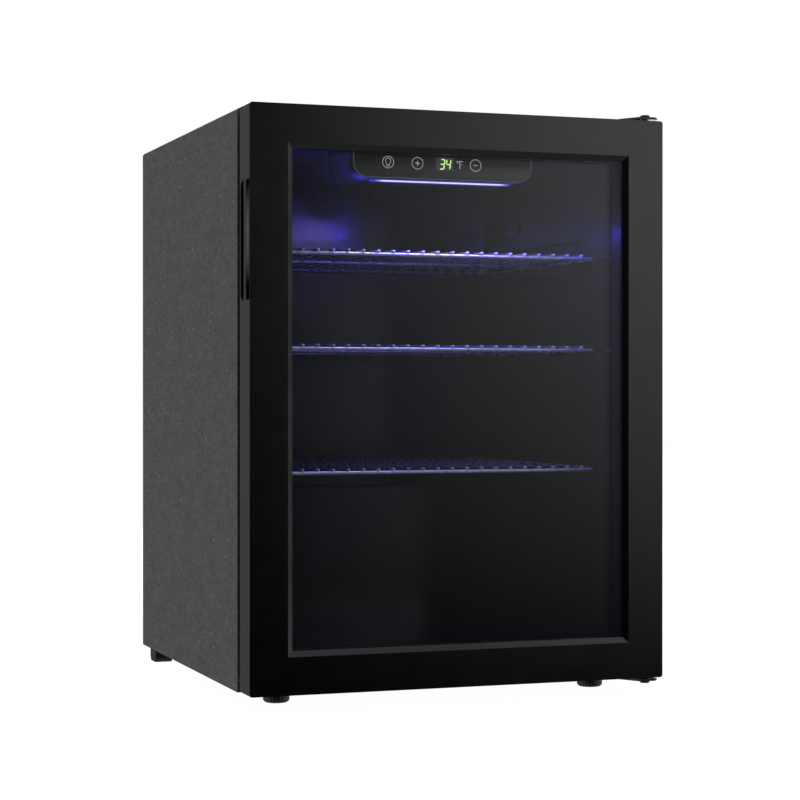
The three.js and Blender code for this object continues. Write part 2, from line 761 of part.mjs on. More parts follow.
function evaporator() {
  const passRise = (EVAPORATOR_HEIGHT - 40) / (EVAPORATOR_PASSES - 1);
  const reach = EVAPORATOR_WIDTH / 2 + 14;
  const corners = [];
  for (let pass = 0; pass < EVAPORATOR_PASSES; pass += 1) {
    const z = EVAPORATOR_BOTTOM + 20 + pass * passRise;
    const side = pass % 2 === 0 ? 1 : -1;
    corners.push([side * reach, EVAPORATOR_Y, z]);
    corners.push([-side * reach, EVAPORATOR_Y, z]);
  }
  const coil = pipe(corners, 4, 12);
  const fins = [];
  for (let i = 0; i < EVAPORATOR_FINS; i += 1) {
    const x = EVAPORATOR_WIDTH * (i / (EVAPORATOR_FINS - 1) - 0.5);
    fins.push(
      box(
        x - 0.6,
        x + 0.6,
        EVAPORATOR_FRONT,
        EVAPORATOR_BACK,
        EVAPORATOR_BOTTOM,
        EVAPORATOR_BOTTOM + EVAPORATOR_HEIGHT,
      ),
    );
  }
  return join(coil, ...fins);
}

function fanShroud() {
  const half = FAN_FRAME / 2;
  const rear = FAN_FRONT + FAN_DEPTH;
  const frame = cut(
    alongY(roundedRectangle(-half, half, FAN_Z - half, FAN_Z + half, 5), FAN_FRONT, rear),
    lyingAlongY(0, FAN_FRONT - 1, rear + 1, FAN_Z, FAN_HOLE_RADIUS, 28),
  );
  const strut = 2;
  return join(
    frame,
    lyingAlongY(0, rear - 5, rear, FAN_Z, FAN_HUB_RADIUS),
    box(-half + 2, half - 2, rear - 4, rear, FAN_Z - strut, FAN_Z + strut),
    box(-strut, strut, rear - 4, rear, FAN_Z - half + 2, FAN_Z + half - 2),
  );
}

function fanRotor() {
  const depth = 14;
  const front = FAN_FRONT + 3;
  const middle = front + depth / 2;
  const reach = FAN_HOLE_RADIUS - FAN_TIP_GAP;
  const root = FAN_HUB_RADIUS - 3;
  const hub = lyingAlongY(0, front, front + depth, FAN_Z, FAN_HUB_RADIUS);
  const disc = lyingAlongY(0, front - 1, front + depth + 1, FAN_Z, reach, 28);
  const blades = Array.from({ length: FAN_BLADES }, (_, i) => {
    const blade = new THREE.BoxGeometry(reach - root + 4, 1.6, 17)
      .rotateX(-Math.PI / 4)
      .translate((reach + root + 4) / 2, 0, 0)
      .rotateY((i * 2 * Math.PI) / FAN_BLADES)
      .translate(0, middle, FAN_Z);
    return common(blade, disc);
  });
  return join(hub, ...blades);
}

// Control housing and its parts.
function controlHousing() {
  const half = CONTROL_WIDTH / 2;
  const rear = CONTROL_FRONT + CONTROL_DEPTH;
  const outside = trough(half, CONTROL_BOTTOM, CONTROL_TOP, CONTROL_CORNER);
  const inside = (wall) =>
    trough(half - wall, CONTROL_BOTTOM + wall, CONTROL_TOP + 1, CONTROL_CORNER - wall);
  return cut(
    alongY(outside, CONTROL_FRONT, rear),
    alongY(inside(CONTROL_RIM), CONTROL_FRONT - 1, CONTROL_FRONT + FASCIA + CLEAR),
    alongY(inside(CONTROL_WALL), CONTROL_FRONT - 1, rear - CONTROL_WALL),
  );
}

const keyPlaces = { light_key: LIGHT_KEY_X, plus_key: PLUS_KEY_X, minus_key: MINUS_KEY_X };

function controlFascia() {
  const wall = CONTROL_RIM + CLEAR;
  const outline = trough(
    CONTROL_WIDTH / 2 - wall,
    CONTROL_BOTTOM + wall,
    CONTROL_TOP,
    CONTROL_CORNER - wall,
  );
  const rear = CONTROL_FRONT + FASCIA;
  const keyHoles = Object.values(keyPlaces).map((x) =>
    lyingAlongY(x, CONTROL_FRONT - 1, rear + 1, KEY_Z, KEY_RADIUS + CLEAR, 24),
  );
  const window = box(
    DISPLAY_X - DISPLAY_WIDTH / 2,
    DISPLAY_X + DISPLAY_WIDTH / 2,
    CONTROL_FRONT - 1,
    rear + 1,
    KEY_Z - DISPLAY_HEIGHT / 2,
    KEY_Z + DISPLAY_HEIGHT / 2,
  );
  return cut(alongY(outline, CONTROL_FRONT, rear), ...keyHoles, window);
}

function key(x) {
  const rear = CONTROL_FRONT + FASCIA + CLEAR;
  return join(
    lyingAlongY(x, CONTROL_FRONT, rear + 1, KEY_Z, KEY_RADIUS, 24),
    lyingAlongY(x, rear, rear + 1, KEY_Z, KEY_RADIUS + 1.5, 24),
  );
}

const BOARD_FRONT = CONTROL_FRONT + FASCIA + CLEAR + 1 + KEY_TRAVEL + 1.2;

function displayModule() {
  const halfWidth = DISPLAY_WIDTH / 2 - CLEAR;
  const halfHeight = DISPLAY_HEIGHT / 2 - CLEAR;
  return box(
    DISPLAY_X - halfWidth,
    DISPLAY_X + halfWidth,
    CONTROL_FRONT + 0.8,
    BOARD_FRONT - CLEAR,
    KEY_Z - halfHeight,
    KEY_Z + halfHeight,
  );
}

function controlBoard() {
  const half = CONTROL_WIDTH / 2 - CONTROL_CORNER;
  const bottom = CONTROL_BOTTOM + CONTROL_WALL + CLEAR;
  return join(
    box(-half, half, BOARD_FRONT, BOARD_FRONT + 1.6, bottom, CONTROL_TOP - 2),
    box(half - 46, half - 14, BOARD_FRONT + 1, BOARD_FRONT + 16, bottom + 3, bottom + 23),
    box(-half + 10, -half + 26, BOARD_FRONT + 1, BOARD_FRONT + 14, bottom + 3, bottom + 17),
    box(-14, 0, BOARD_FRONT + 1, BOARD_FRONT + 5, bottom + 6, bottom + 20),
  );
}

function ledDiffuser() {
  const y = CONTROL_FRONT + 4 + LED_WIDTH / 2;
  const top = CONTROL_BOTTOM - CLEAR;
  const section = new THREE.Shape();
  section.moveTo(y - LED_WIDTH / 2, top);
  section.absellipse(y, top, LED_WIDTH / 2, LED_HEIGHT, Math.PI, 2 * Math.PI);
  return alongX(section, -LED_LENGTH / 2, LED_LENGTH / 2);
}

function temperatureSensor() {
  const right = INSIDE_HALF - CLEAR;
  const y = COVER_FRONT - 60;
  const z = INSIDE_TOP - 60;
  const body = alongX(roundedRectangle(y - 15, y + 15, z - 6, z + 6, 5), right - 7, right);
  const slots = [-7, 0, 7].map((step) =>
    box(right - 8, right - 3, y + step - 1.2, y + step + 1.2, z - 4, z + 4),
  );
  return cut(body, ...slots);
}

// A wire shelf: lengthwise wires over a square bar bent into a frame, with a cross wire halfway.
function shelf(name) {
  const z = shelfZ(name);
  const half = INSIDE_HALF - SHELF_SIDE_GAP;
  const front = CABINET_FRONT + SHELF_SETBACK - SHELF_BAR / 2;
  const inner = half - SHELF_BAR;
  const frame = cut(
    alongZ(
      roundedRectangle(-half, half, front, SHELF_BACK, SHELF_CORNER),
      z - SHELF_BAR / 2,
      z + SHELF_BAR / 2,
    ),
    alongZ(
      roundedRectangle(-inner, inner, front + SHELF_BAR, SHELF_BACK - SHELF_BAR, SHELF_CORNER - SHELF_BAR),
      z - SHELF_BAR,
      z + SHELF_BAR,
    ),
  );
  const side = Math.floor((half - SHELF_CORNER) / SHELF_WIRE_PITCH);
  const gridHalf = side * SHELF_WIRE_PITCH + SHELF_WIRE / 2;
  const halfway = (front + SHELF_BACK) / 2;
  const rows = [
    [front + SHELF_BAR + 1, halfway - SHELF_WIRE / 2],
    [halfway + SHELF_WIRE / 2, SHELF_BACK - SHELF_BAR - 1],
  ];
  const wireBottom = z + SHELF_BAR / 2 - 0.5;
  const wireTop = wireBottom + SHELF_WIRE;
  const gaps = [];
  for (let i = -side; i < side; i += 1) {
    const x0 = i * SHELF_WIRE_PITCH + SHELF_WIRE / 2;
    const x1 = (i + 1) * SHELF_WIRE_PITCH - SHELF_WIRE / 2;
    rows.forEach(([y0, y1]) => gaps.push(box(x0, x1, y0, y1, wireBottom - 1, wireTop + 1)));
  }
  const grid = box(-gridHalf, gridHalf, front - SHELF_WIRE, SHELF_BACK - 1, wireBottom, wireTop);
  const hooks = box(-gridHalf, gridHalf, front - SHELF_WIRE, front + 1, z - SHELF_BAR / 2, wireBottom + 1);
  return cut(join(frame, hooks, grid), ...gaps);
}

// Door.
function bushHole(z0, z1) {
  return upright(PIN_X, PIN_Y, z0, z1, BUSH_RADIUS + CLEAR);
}

function pullOutline(growth) {
  return roundedRectangle(
    FRONT + PULL_FRONT - growth,
    FRONT + PULL_BACK + growth,
    DOOR_BOTTOM + PULL_LOW - growth,
    DOOR_BOTTOM + PULL_HIGH + growth,
    PULL_CORNER + growth,
  );
}

function bevelledOpening() {
  const depth = DOOR_FACE + 2;
  const spread = (BEVEL * depth) / DOOR_FACE;
  const wide = new THREE.BoxGeometry(
    2 * (OPENING_HALF + BEVEL / DOOR_FACE),
    depth,
    2 * (OPENING_HALF_HEIGHT + BEVEL / DOOR_FACE),
  );
  const position = wide.attributes.position;
  for (let i = 0; i < position.count; i += 1) {
    if (position.getY(i) > 0) {
      position.setX(i, position.getX(i) - Math.sign(position.getX(i)) * spread);
      position.setZ(i, position.getZ(i) - Math.sign(position.getZ(i)) * spread);
    }
  }
  return wide.translate(0, FRONT + DOOR_FACE / 2, DOOR_MIDDLE);
}

function doorOutline(inset) {
  const half = HALF_WIDTH - inset;
  const radius = Math.max(DOOR_CORNER - inset, 0.5);
  return roundedRectangle(-half, half, DOOR_BOTTOM + inset, DOOR_TOP - inset, radius);
}

function scoop() {
  const radius = ((SCOOP_WIDTH / 2) ** 2 + SCOOP_DEPTH ** 2) / (2 * SCOOP_DEPTH);
  const low = DOOR_BOTTOM + PULL_LOW;
  const high = DOOR_BOTTOM + PULL_HIGH;
  return upright(
    -HALF_WIDTH - radius + SCOOP_DEPTH,
    FRONT + 0.6 + SCOOP_WIDTH / 2,
    low,
    high,
    radius,
    56,
  );
}

function doorFrame() {
  const tray = cut(
    alongY(doorOutline(0), FRONT, DOOR_BACK),
    alongY(doorOutline(DOOR_EDGE), FRONT + DOOR_FACE, DOOR_BACK + 1),
    bevelledOpening(),
  );
  const bosses = join(
    upright(PIN_X, PIN_Y, DOOR_TOP - BUSH_LENGTH - 4, DOOR_TOP - 1, BOSS_RADIUS),
    upright(PIN_X, PIN_Y, DOOR_BOTTOM + 1, DOOR_BOTTOM + BUSH_LENGTH + 4, BOSS_RADIUS),
  );
  const pad = box(
    -HALF_WIDTH + 1,
    -HALF_WIDTH + 6,
    FRONT + 1,
    FRONT + PULL_FRONT - 1,
    DOOR_BOTTOM + PULL_LOW - 10,
    DOOR_BOTTOM + PULL_HIGH + 10,
  );
  return cut(
    join(tray, bosses, pad),
    bushHole(DOOR_TOP - BUSH_LENGTH - CLEAR, DOOR_TOP + 1),
    bushHole(DOOR_BOTTOM - 1, DOOR_BOTTOM + BUSH_LENGTH + CLEAR),
    alongX(pullOutline(CLEAR), -HALF_WIDTH - 1, -HALF_WIDTH + 8),
    scoop(),
  );
}

function handleInsert() {
  const slotBack = PULL_BACK - PULL_WALL;
  const slotRadius = (slotBack - PULL_SLOT_FRONT) / 2 - 0.1;
  const slot = roundedRectangle(
    FRONT + PULL_SLOT_FRONT,
    FRONT + slotBack,
    DOOR_BOTTOM + PULL_LOW + PULL_WALL,
    DOOR_BOTTOM + PULL_HIGH - PULL_WALL,
    slotRadius,
  );
  const inner = -HALF_WIDTH + PULL_DEPTH;
  return cut(
    alongX(pullOutline(0), -HALF_WIDTH, inner),
    alongX(slot, -HALF_WIDTH - 1, inner - PULL_WALL),
  );
}

function pane(front) {
  return box(
    -GLASS_HALF,
    GLASS_HALF,
    front,
    front + GLASS,
    DOOR_MIDDLE - GLASS_HALF_HEIGHT,
    DOOR_MIDDLE + GLASS_HALF_HEIGHT,
  );
}

function glassSpacer() {
  return doorRing(
    GLASS_HALF,
    GLASS_HALF_HEIGHT,
    GLASS_HALF - SPACER_WIDTH,
    GLASS_HALF_HEIGHT - SPACER_WIDTH,
    SPACER_FRONT,
    SPACER_FRONT + GLASS_SPACE,
  );
}

// A ring that follows the gasket, so wide on each side of its middle line.
function gasketRing(reach, y0, y1) {
  return doorRing(
    GASKET_MIDDLE + reach,
    GASKET_MIDDLE_HEIGHT + reach,
    GASKET_MIDDLE - reach,
    GASKET_MIDDLE_HEIGHT - reach,
    y0,
    y1,
  );
}

const DART_SLOT_HALF = GASKET_DART / 2 + 1;

function doorInnerFrame() {
  const lipHalf = VISIBLE_HALF + INNER_LIP;
  const lipHalfHeight = VISIBLE_HALF_HEIGHT + INNER_LIP;
  const plateFront = DOOR_BACK - INNER_FRAME;
  const plate = doorRing(
    HALF_WIDTH - DOOR_EDGE - CLEAR,
    DOOR_HEIGHT / 2 - DOOR_EDGE - CLEAR,
    lipHalf,
    lipHalfHeight,
    plateFront,
    DOOR_BACK,
  );
  const lip = doorRing(
    lipHalf + INNER_LIP,
    lipHalfHeight + INNER_LIP,
    lipHalf,
    lipHalfHeight,
    INNER_GLASS_BACK + CLEAR,
    plateFront + 1,
  );
  const channelFront = DOOR_BACK - GASKET_DART_DEPTH - CLEAR;
  const channel = gasketRing(DART_SLOT_HALF + INNER_FRAME, channelFront - INNER_FRAME, plateFront + 1);
  return cut(join(plate, lip, channel), gasketRing(DART_SLOT_HALF, channelFront, DOOR_BACK + 1));
}

function doorGasket() {
  const front = DOOR_BACK + CLEAR;
  const rear = CABINET_FRONT - CLEAR;
  return join(
    gasketRing(GASKET_WIDTH / 2, front, rear),
    gasketRing(GASKET_DART / 2, DOOR_BACK - GASKET_DART_DEPTH, front + 1),
  );
}

// Hinges.
function doorBush(outerEnd, innerEnd) {
  const z0 = Math.min(outerEnd, innerEnd);
  const z1 = Math.max(outerEnd, innerEnd);
  const floor = 1.5;
  const boreBottom = outerEnd > innerEnd ? z0 + floor : z0 - 1;
  const boreTop = outerEnd > innerEnd ? z1 + 1 : z1 - floor;
  return cut(
    upright(PIN_X, PIN_Y, z0, z1, BUSH_RADIUS),
    upright(PIN_X, PIN_Y, boreBottom, boreTop, PIN_RADIUS + RUNNING),
  );
}

function bracketOutline() {
  const nose = PIN_X - BRACKET_NOSE_WIDTH / 2;
  const tail = BRACKET_OUTER - BRACKET_TAIL_WIDTH;
  return polygon([
    [nose, BRACKET_FRONT],
    [PIN_X + BRACKET_NOSE_WIDTH / 2, BRACKET_FRONT],
    [BRACKET_OUTER, BRACKET_FRONT + 4],
    [BRACKET_OUTER, BRACKET_BACK],
    [tail, BRACKET_BACK],
    [tail, FRONT + 27],
  ]);
}

function topHingeBracket() {
  const low = TOP_BRACKET_BOTTOM;
  const side = polygon([
    [BRACKET_FRONT, low + BRACKET_STEP],
    [DOOR_BACK + 2, low + BRACKET_STEP],
    [CABINET_FRONT - 2, low],
    [BRACKET_BACK, low],
    [BRACKET_BACK, low + BRACKET],
    [CABINET_FRONT - 2, low + BRACKET],
    [DOOR_BACK + 2, low + BRACKET + BRACKET_STEP],
    [BRACKET_FRONT, low + BRACKET + BRACKET_STEP],
  ]);
  const bar = alongX(side, BRACKET_OUTER - BRACKET_TAIL_WIDTH - 1, BRACKET_OUTER + 1);
  const outline = alongZ(bracketOutline(), low - 5, low + 15);
  return cut(
    common(bar, outline),
    upright(PIN_X, PIN_Y, low - 1, low + 10, PIN_RADIUS + CLEAR),
    ...screwHoles(topScrews, low - 1, low + 10, CLEAR),
  );
}

function bottomHingeBracket() {
  const plate = alongZ(bracketOutline(), BOTTOM_BRACKET_TOP - BRACKET, BOTTOM_BRACKET_TOP);
  const z0 = BOTTOM_BRACKET_TOP - BRACKET - 1;
  const z1 = BOTTOM_BRACKET_TOP + 1;
  return cut(
    plate,
    upright(PIN_X, PIN_Y, z0, z1, PIN_RADIUS + CLEAR),
    ...screwHoles(bottomScrews, z0, z1, CLEAR),
  );
}

function topHingePin() {
  const seat = TOP_BRACKET_BOTTOM + BRACKET + BRACKET_STEP + CLEAR;
  const tip = DOOR_TOP - PIN_GRIP;
  const profile = [
    [0, tip],
    [PIN_RADIUS - 1, tip],
    [PIN_RADIUS, tip + 1],
    [PIN_RADIUS, seat],
    [PIN_HEAD_RADIUS, seat],
    [PIN_HEAD_RADIUS, seat + PIN_HEAD - 0.8],
    [PIN_HEAD_RADIUS - 0.8, seat + PIN_HEAD],
    [0, seat + PIN_HEAD],
  ];
  return turned(profile, PIN_X, PIN_Y);
}

function bottomHingePin() {
  const seat = BOTTOM_BRACKET_TOP - BRACKET - CLEAR;
  const tip = DOOR_BOTTOM + PIN_GRIP;
  const profile = [
    [0, seat - PIN_HEAD],
    [PIN_HEAD_RADIUS - 0.8, seat - PIN_HEAD],
    [PIN_HEAD_RADIUS, seat - PIN_HEAD + 0.8],
    [PIN_HEAD_RADIUS, seat],
    [PIN_RADIUS, seat],
    [PIN_RADIUS, tip - 1],
    [PIN_RADIUS - 1, tip],
    [0, tip],
  ];
  return turned(profile, PIN_X, PIN_Y);
}

// A pan-head screw. The tip points down for a screw that is driven from above.
function screw([x, y], seat, tipDown) {
  const up = tipDown ? 1 : -1;
  const face = seat + up * CLEAR;
  const crown = face + up * SCREW_HEAD;
  const rim = face + up * SCREW_HEAD * 0.5;
  const tip = face - up * SCREW_LENGTH;
  const profile = [
    [0, tip],
    [SCREW_RADIUS, tip],
    [SCREW_RADIUS, face],
    [SCREW_HEAD_RADIUS, face],
    [SCREW_HEAD_RADIUS, rim],
    [SCREW_HEAD_RADIUS * 0.7, crown],
    [0, crown],
  ];
  return turned(tipDown ? profile : profile.reverse(), x, y, 12);
}

// Feet.
function levellingFoot(side) {
  const x = side * (HALF_WIDTH - FOOT_INSET_X);
  const y = CABINET_FRONT + FOOT_INSET_Y;
  const collarTop = FOOT_PAD + FOOT_COLLAR;
  const profile = [
    [0, 0],
    [FOOT_RADIUS - 2.5, 0],
    [FOOT_RADIUS, 3],
    [FOOT_RADIUS, FOOT_PAD - 1],
    [FOOT_RADIUS - 1, FOOT_PAD],
    [FOOT_COLLAR_RADIUS, FOOT_PAD],
    [FOOT_COLLAR_RADIUS, collarTop],
    [FOOT_STUD_RADIUS, collarTop],
    [FOOT_STUD_RADIUS, CABINET_BOTTOM + FOOT_STUD - 3],
    [0, CABINET_BOTTOM + FOOT_STUD - 3],
  ];
  return turned(profile, x, y);
}

function rearFoot(side) {
  const outer = HALF_WIDTH - REAR_FOOT_INSET_X;
  const inner = outer - REAR_FOOT_WIDTH;
  const x0 = side > 0 ? inner : -outer;
  const x1 = side > 0 ? outer : -inner;
  const y1 = BACK - REAR_FOOT_INSET_Y;
  const y0 = y1 - REAR_FOOT_LENGTH;
  const top = RAIL_BOTTOM - CLEAR;
  const foot = polygon([
    [y0 + 4, 0],
    [y1 - 4, 0],
    [y1, 5],
    [y1, top],
    [y0, top],
    [y0, 5],
  ]);
  return alongX(foot, x0, x1);
}

// Compressor bay.
const GLAND_X = HALF_WIDTH - 90;
const GLAND_Z = RAIL_TOP + 24;

function compressorRail() {
  const front = BAY_FRONT + 2;
  const plate = join(
    box(-FITTED_HALF, FITTED_HALF, front, RAIL_BACK, RAIL_BOTTOM, RAIL_TOP),
    box(-FITTED_HALF, FITTED_HALF, RAIL_BACK - RAIL, RAIL_BACK, RAIL_BOTTOM, RAIL_BOTTOM + RAIL_LIP),
    box(GLAND_X - 15, GLAND_X + 15, RAIL_BACK - RAIL, RAIL_BACK, RAIL_BOTTOM, GLAND_Z + 15),
  );
  return cut(
    plate,
    lyingAlongY(GLAND_X, RAIL_BACK - RAIL - 1, RAIL_BACK + 1, GLAND_Z, GLAND_RADIUS + CLEAR),
  );
}

function cordGland() {
  return cut(
    join(
      lyingAlongY(GLAND_X, RAIL_BACK - 12, RAIL_BACK + 1, GLAND_Z, GLAND_RADIUS),
      lyingAlongY(GLAND_X, RAIL_BACK + CLEAR, RAIL_BACK + 2.8, GLAND_Z, GLAND_FLANGE_RADIUS),
    ),
    lyingAlongY(GLAND_X, RAIL_BACK - 13, RAIL_BACK + 4, GLAND_Z, GLAND_RADIUS - 2.7),
  );
}

const grommetPlaces = [-1, 1].flatMap((sideX) =>
  [-1, 1].map((sideY) => [
    COMPRESSOR_X + sideX * (COMPRESSOR_PLATE_LENGTH / 2 - 13),
    COMPRESSOR_Y + sideY * (COMPRESSOR_PLATE_WIDTH / 2 - 13),
  ]),
);

function compressorBody() {
  const r = COMPRESSOR_RADIUS;
  const z0 = COMPRESSOR_BOTTOM;
  const z1 = COMPRESSOR_TOP;
  const seam = z0 + COMPRESSOR_HEIGHT * 0.55;
  const dome = turned(
    [
      [0, z0 - 2],
      [r * 0.7, z0],
      [r * 0.96, z0 + 12],
      [r, seam - 3],
      [r, seam + 3],
      [r * 0.94, z1 - 26],
      [r * 0.75, z1 - 7],
      [0, z1],
    ],
    COMPRESSOR_X,
    COMPRESSOR_Y,
    28,
  );
  const halfLength = COMPRESSOR_PLATE_LENGTH / 2;
  const halfWidth = COMPRESSOR_PLATE_WIDTH / 2;
  const plate = alongZ(
    roundedRectangle(
      COMPRESSOR_X - halfLength,
      COMPRESSOR_X + halfLength,
      COMPRESSOR_Y - halfWidth,
      COMPRESSOR_Y + halfWidth,
      12,
    ),
    z0,
    z0 + COMPRESSOR_PLATE,
  );
  const stubs = join(
    lyingAlongX(COMPRESSOR_X, COMPRESSOR_X + r + 12 - CLEAR, PIPE_Y, PIPE_Z, STUB_RADIUS, 10),
    lyingAlongX(COMPRESSOR_X - r - 12 + CLEAR, COMPRESSOR_X, PIPE_Y, PIPE_Z, STUB_RADIUS, 10),
  );
  const holes = grommetPlaces.map(([x, y]) =>
    upright(x, y, z0 - 1, z0 + COMPRESSOR_PLATE + 1, GROMMET_NECK_RADIUS + CLEAR, 12),
  );
  return join(dome, cut(plate, ...holes), stubs);
}

function grommet([x, y]) {
  const low = RAIL_TOP + CLEAR;
  const under = COMPRESSOR_BOTTOM - CLEAR;
  const over = COMPRESSOR_BOTTOM + COMPRESSOR_PLATE + CLEAR;
  const profile = [
    [0, low],
    [GROMMET_RADIUS, low],
    [GROMMET_RADIUS, under],
    [GROMMET_NECK_RADIUS, under],
    [GROMMET_NECK_RADIUS, over],
    [GROMMET_RADIUS - 2, over],
    [GROMMET_RADIUS - 2, over + 3],
    [0, over + 3],
  ];
  return turned(profile, x, y, 12);
}

function relayCover() {
  const x1 = COMPRESSOR_X + COMPRESSOR_RADIUS + RELAY_SIZE - 12;
  const z0 = COMPRESSOR_BOTTOM + COMPRESSOR_PLATE + 8;
  const y0 = COMPRESSOR_Y - RELAY_SIZE / 2 - 8;
  return cut(
    alongZ(
      roundedRectangle(COMPRESSOR_X + 30, x1, y0, y0 + RELAY_SIZE, 4),
      z0,
      z0 + RELAY_SIZE,
    ),
    upright(COMPRESSOR_X, COMPRESSOR_Y, z0 - 1, z0 + RELAY_SIZE + 1, COMPRESSOR_RADIUS + CLEAR, 32),
  );
}

function dripTray() {
  const z0 = COMPRESSOR_TOP + CLEAR;
  const halfWidth = TRAY_WIDTH / 2;
  const halfLength = TRAY_LENGTH / 2;
  const outline = (inset) =>
    roundedRectangle(
      COMPRESSOR_X - halfWidth + inset,
      COMPRESSOR_X + halfWidth - inset,
      COMPRESSOR_Y - halfLength + inset,
      COMPRESSOR_Y + halfLength - inset,
      10 - inset,
    );
  return cut(
    alongZ(outline(0), z0, z0 + TRAY_HEIGHT),
    alongZ(outline(TRAY_WALL), z0 + TRAY_WALL, z0 + TRAY_HEIGHT + 1),
  );
}

function drainTube() {
  const z0 = BAY_TOP - 10;
  const z1 = STEP_TOP - LINER_WALL - CLEAR;
  return cut(
    upright(DRAIN_X, DRAIN_Y, z0, z1, DRAIN_RADIUS, 14),
    upright(DRAIN_X, DRAIN_Y, z0 - 1, z1 + 1, DRAIN_BORE, 14),
  );
}

function filterDrier() {
  const low = DRIER_TOP - DRIER_LENGTH;
  const neck = CONDENSER_RADIUS;
  const profile = [
    [0, low - 8 + CLEAR],
    [neck, low - 8 + CLEAR],
    [neck, low],
    [DRIER_RADIUS, low + 6],
    [DRIER_RADIUS, DRIER_TOP - 6],
    [neck, DRIER_TOP],
    [neck, DRIER_TOP + 8],
    [0, DRIER_TOP + 8],
  ];
  return turned(profile, DRIER_X, PIPE_Y, 14);
}

// Assembly.
const fridge = new THREE.Group();

function add(name, geometry, material, group = fridge) {
  const mesh = new THREE.Mesh(geometry, material);
  mesh.name = name;
  group.add(mesh);
}

function subassembly() {
  const group = new THREE.Group();
  fridge.add(group);
  return group;
}

const cabinet = subassembly();
add("outer_shell", outerShell(), pebbledSteel(), cabinet);
add("back_panel", backPanel(), blackSteel(), cabinet);
add("base_plate", basePlate(), blackSteel(), cabinet);
add("foam_insulation", insulation(), foam(), cabinet);
add("inner_liner", innerLiner(), linerPlastic(), cabinet);
add("rear_left_foot", rearFoot(-1), blackPlastic(), cabinet);
add("rear_right_foot", rearFoot(1), blackPlastic(), cabinet);
add("front_left_foot", levellingFoot(-1), blackPlastic(), cabinet);
add("front_right_foot", levellingFoot(1), blackPlastic(), cabinet);

const cooling = subassembly();
add("air_duct_cover", ductCover(), linerPlastic(), cooling);
add("evaporator", evaporator(), aluminium(), cooling);
add("fan_shroud", fanShroud(), blackPlastic(), cooling);
add("fan_rotor", fanRotor(), blackPlastic(), cooling);
add("condenser_tube", pipe(condenserRoute(), CONDENSER_RADIUS), copper(), cooling);
add("suction_line", pipe(suctionRoute, SUCTION_RADIUS), copper(), cooling);
add("discharge_line", pipe(dischargeRoute, CONDENSER_RADIUS), copper(), cooling);
add("capillary_tube", pipe(capillaryRoute, CAPILLARY_RADIUS, CAPILLARY_BEND), copper(), cooling);
add("filter_drier", filterDrier(), copper(), cooling);
add("compressor", compressorBody(), blackSteel(), cooling);
add("compressor_rail", compressorRail(), galvanisedSteel(), cooling);
add("relay_cover", relayCover(), blackPlastic(), cooling);
add("drip_tray", dripTray(), blackPlastic(), cooling);
add("drain_tube", drainTube(), rubber(), cooling);
add("cord_gland", cordGland(), blackPlastic(), cooling);
grommetPlaces.forEach((place, i) => {
  add(`compressor_grommet_${i + 1}`, grommet(place), rubber(), cooling);
});

const controls = subassembly();
add("control_housing", controlHousing(), blackPlastic(), controls);
add("control_fascia", controlFascia(), glossBlack(), controls);
add("display_module", displayModule(), glossBlack(), controls);
add("control_board", controlBoard(), board(), controls);
add("led_diffuser", ledDiffuser(), lightDiffuser(), controls);
add("temperature_sensor", temperatureSensor(), blackPlastic(), controls);
Object.entries(keyPlaces).forEach(([name, x]) => {
  add(name, key(x), glossBlack(), controls);
});

const shelves = subassembly();
shelfNames.forEach((name) => {
  add(`shelf_${name}`, shelf(name), coatedWire(), shelves);
});

const door = subassembly();
add("door_frame", doorFrame(), blackPlastic(), door);
add("door_inner_frame", doorInnerFrame(), blackPlastic(), door);
add("outer_glass", pane(OUTER_GLASS_FRONT), clearGlass(), door);
add("inner_glass", pane(INNER_GLASS_FRONT), clearGlass(), door);
add("glass_spacer", glassSpacer(), blackPlastic(), door);
add("door_gasket", doorGasket(), rubber(), door);
add("handle_insert", handleInsert(), blackPlastic(), door);
add("top_door_bush", doorBush(DOOR_TOP, DOOR_TOP - BUSH_LENGTH), acetal(), door);
add("bottom_door_bush", doorBush(DOOR_BOTTOM, DOOR_BOTTOM + BUSH_LENGTH), acetal(), door);

const hinges = subassembly();
add("top_hinge_bracket", topHingeBracket(), blackSteel(), hinges);
add("top_hinge_pin", topHingePin(), blackSteel(), hinges);
add("bottom_hinge_bracket", bottomHingeBracket(), blackSteel(), hinges);
add("bottom_hinge_pin", bottomHingePin(), blackSteel(), hinges);
topScrews.forEach((place, i) => {
  const seat = TOP_BRACKET_BOTTOM + BRACKET;
  add(`top_hinge_screw_${i + 1}`, screw(place, seat, true), blackSteel(), hinges);
});
bottomScrews.forEach((place, i) => {
  const seat = BOTTOM_BRACKET_TOP - BRACKET;
  add(`bottom_hinge_screw_${i + 1}`, screw(place, seat, false), blackSteel(), hinges);
});

export default fridge;
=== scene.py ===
"""A mini fridge with a glass door: finishes, fine pieces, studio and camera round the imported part."""

import math

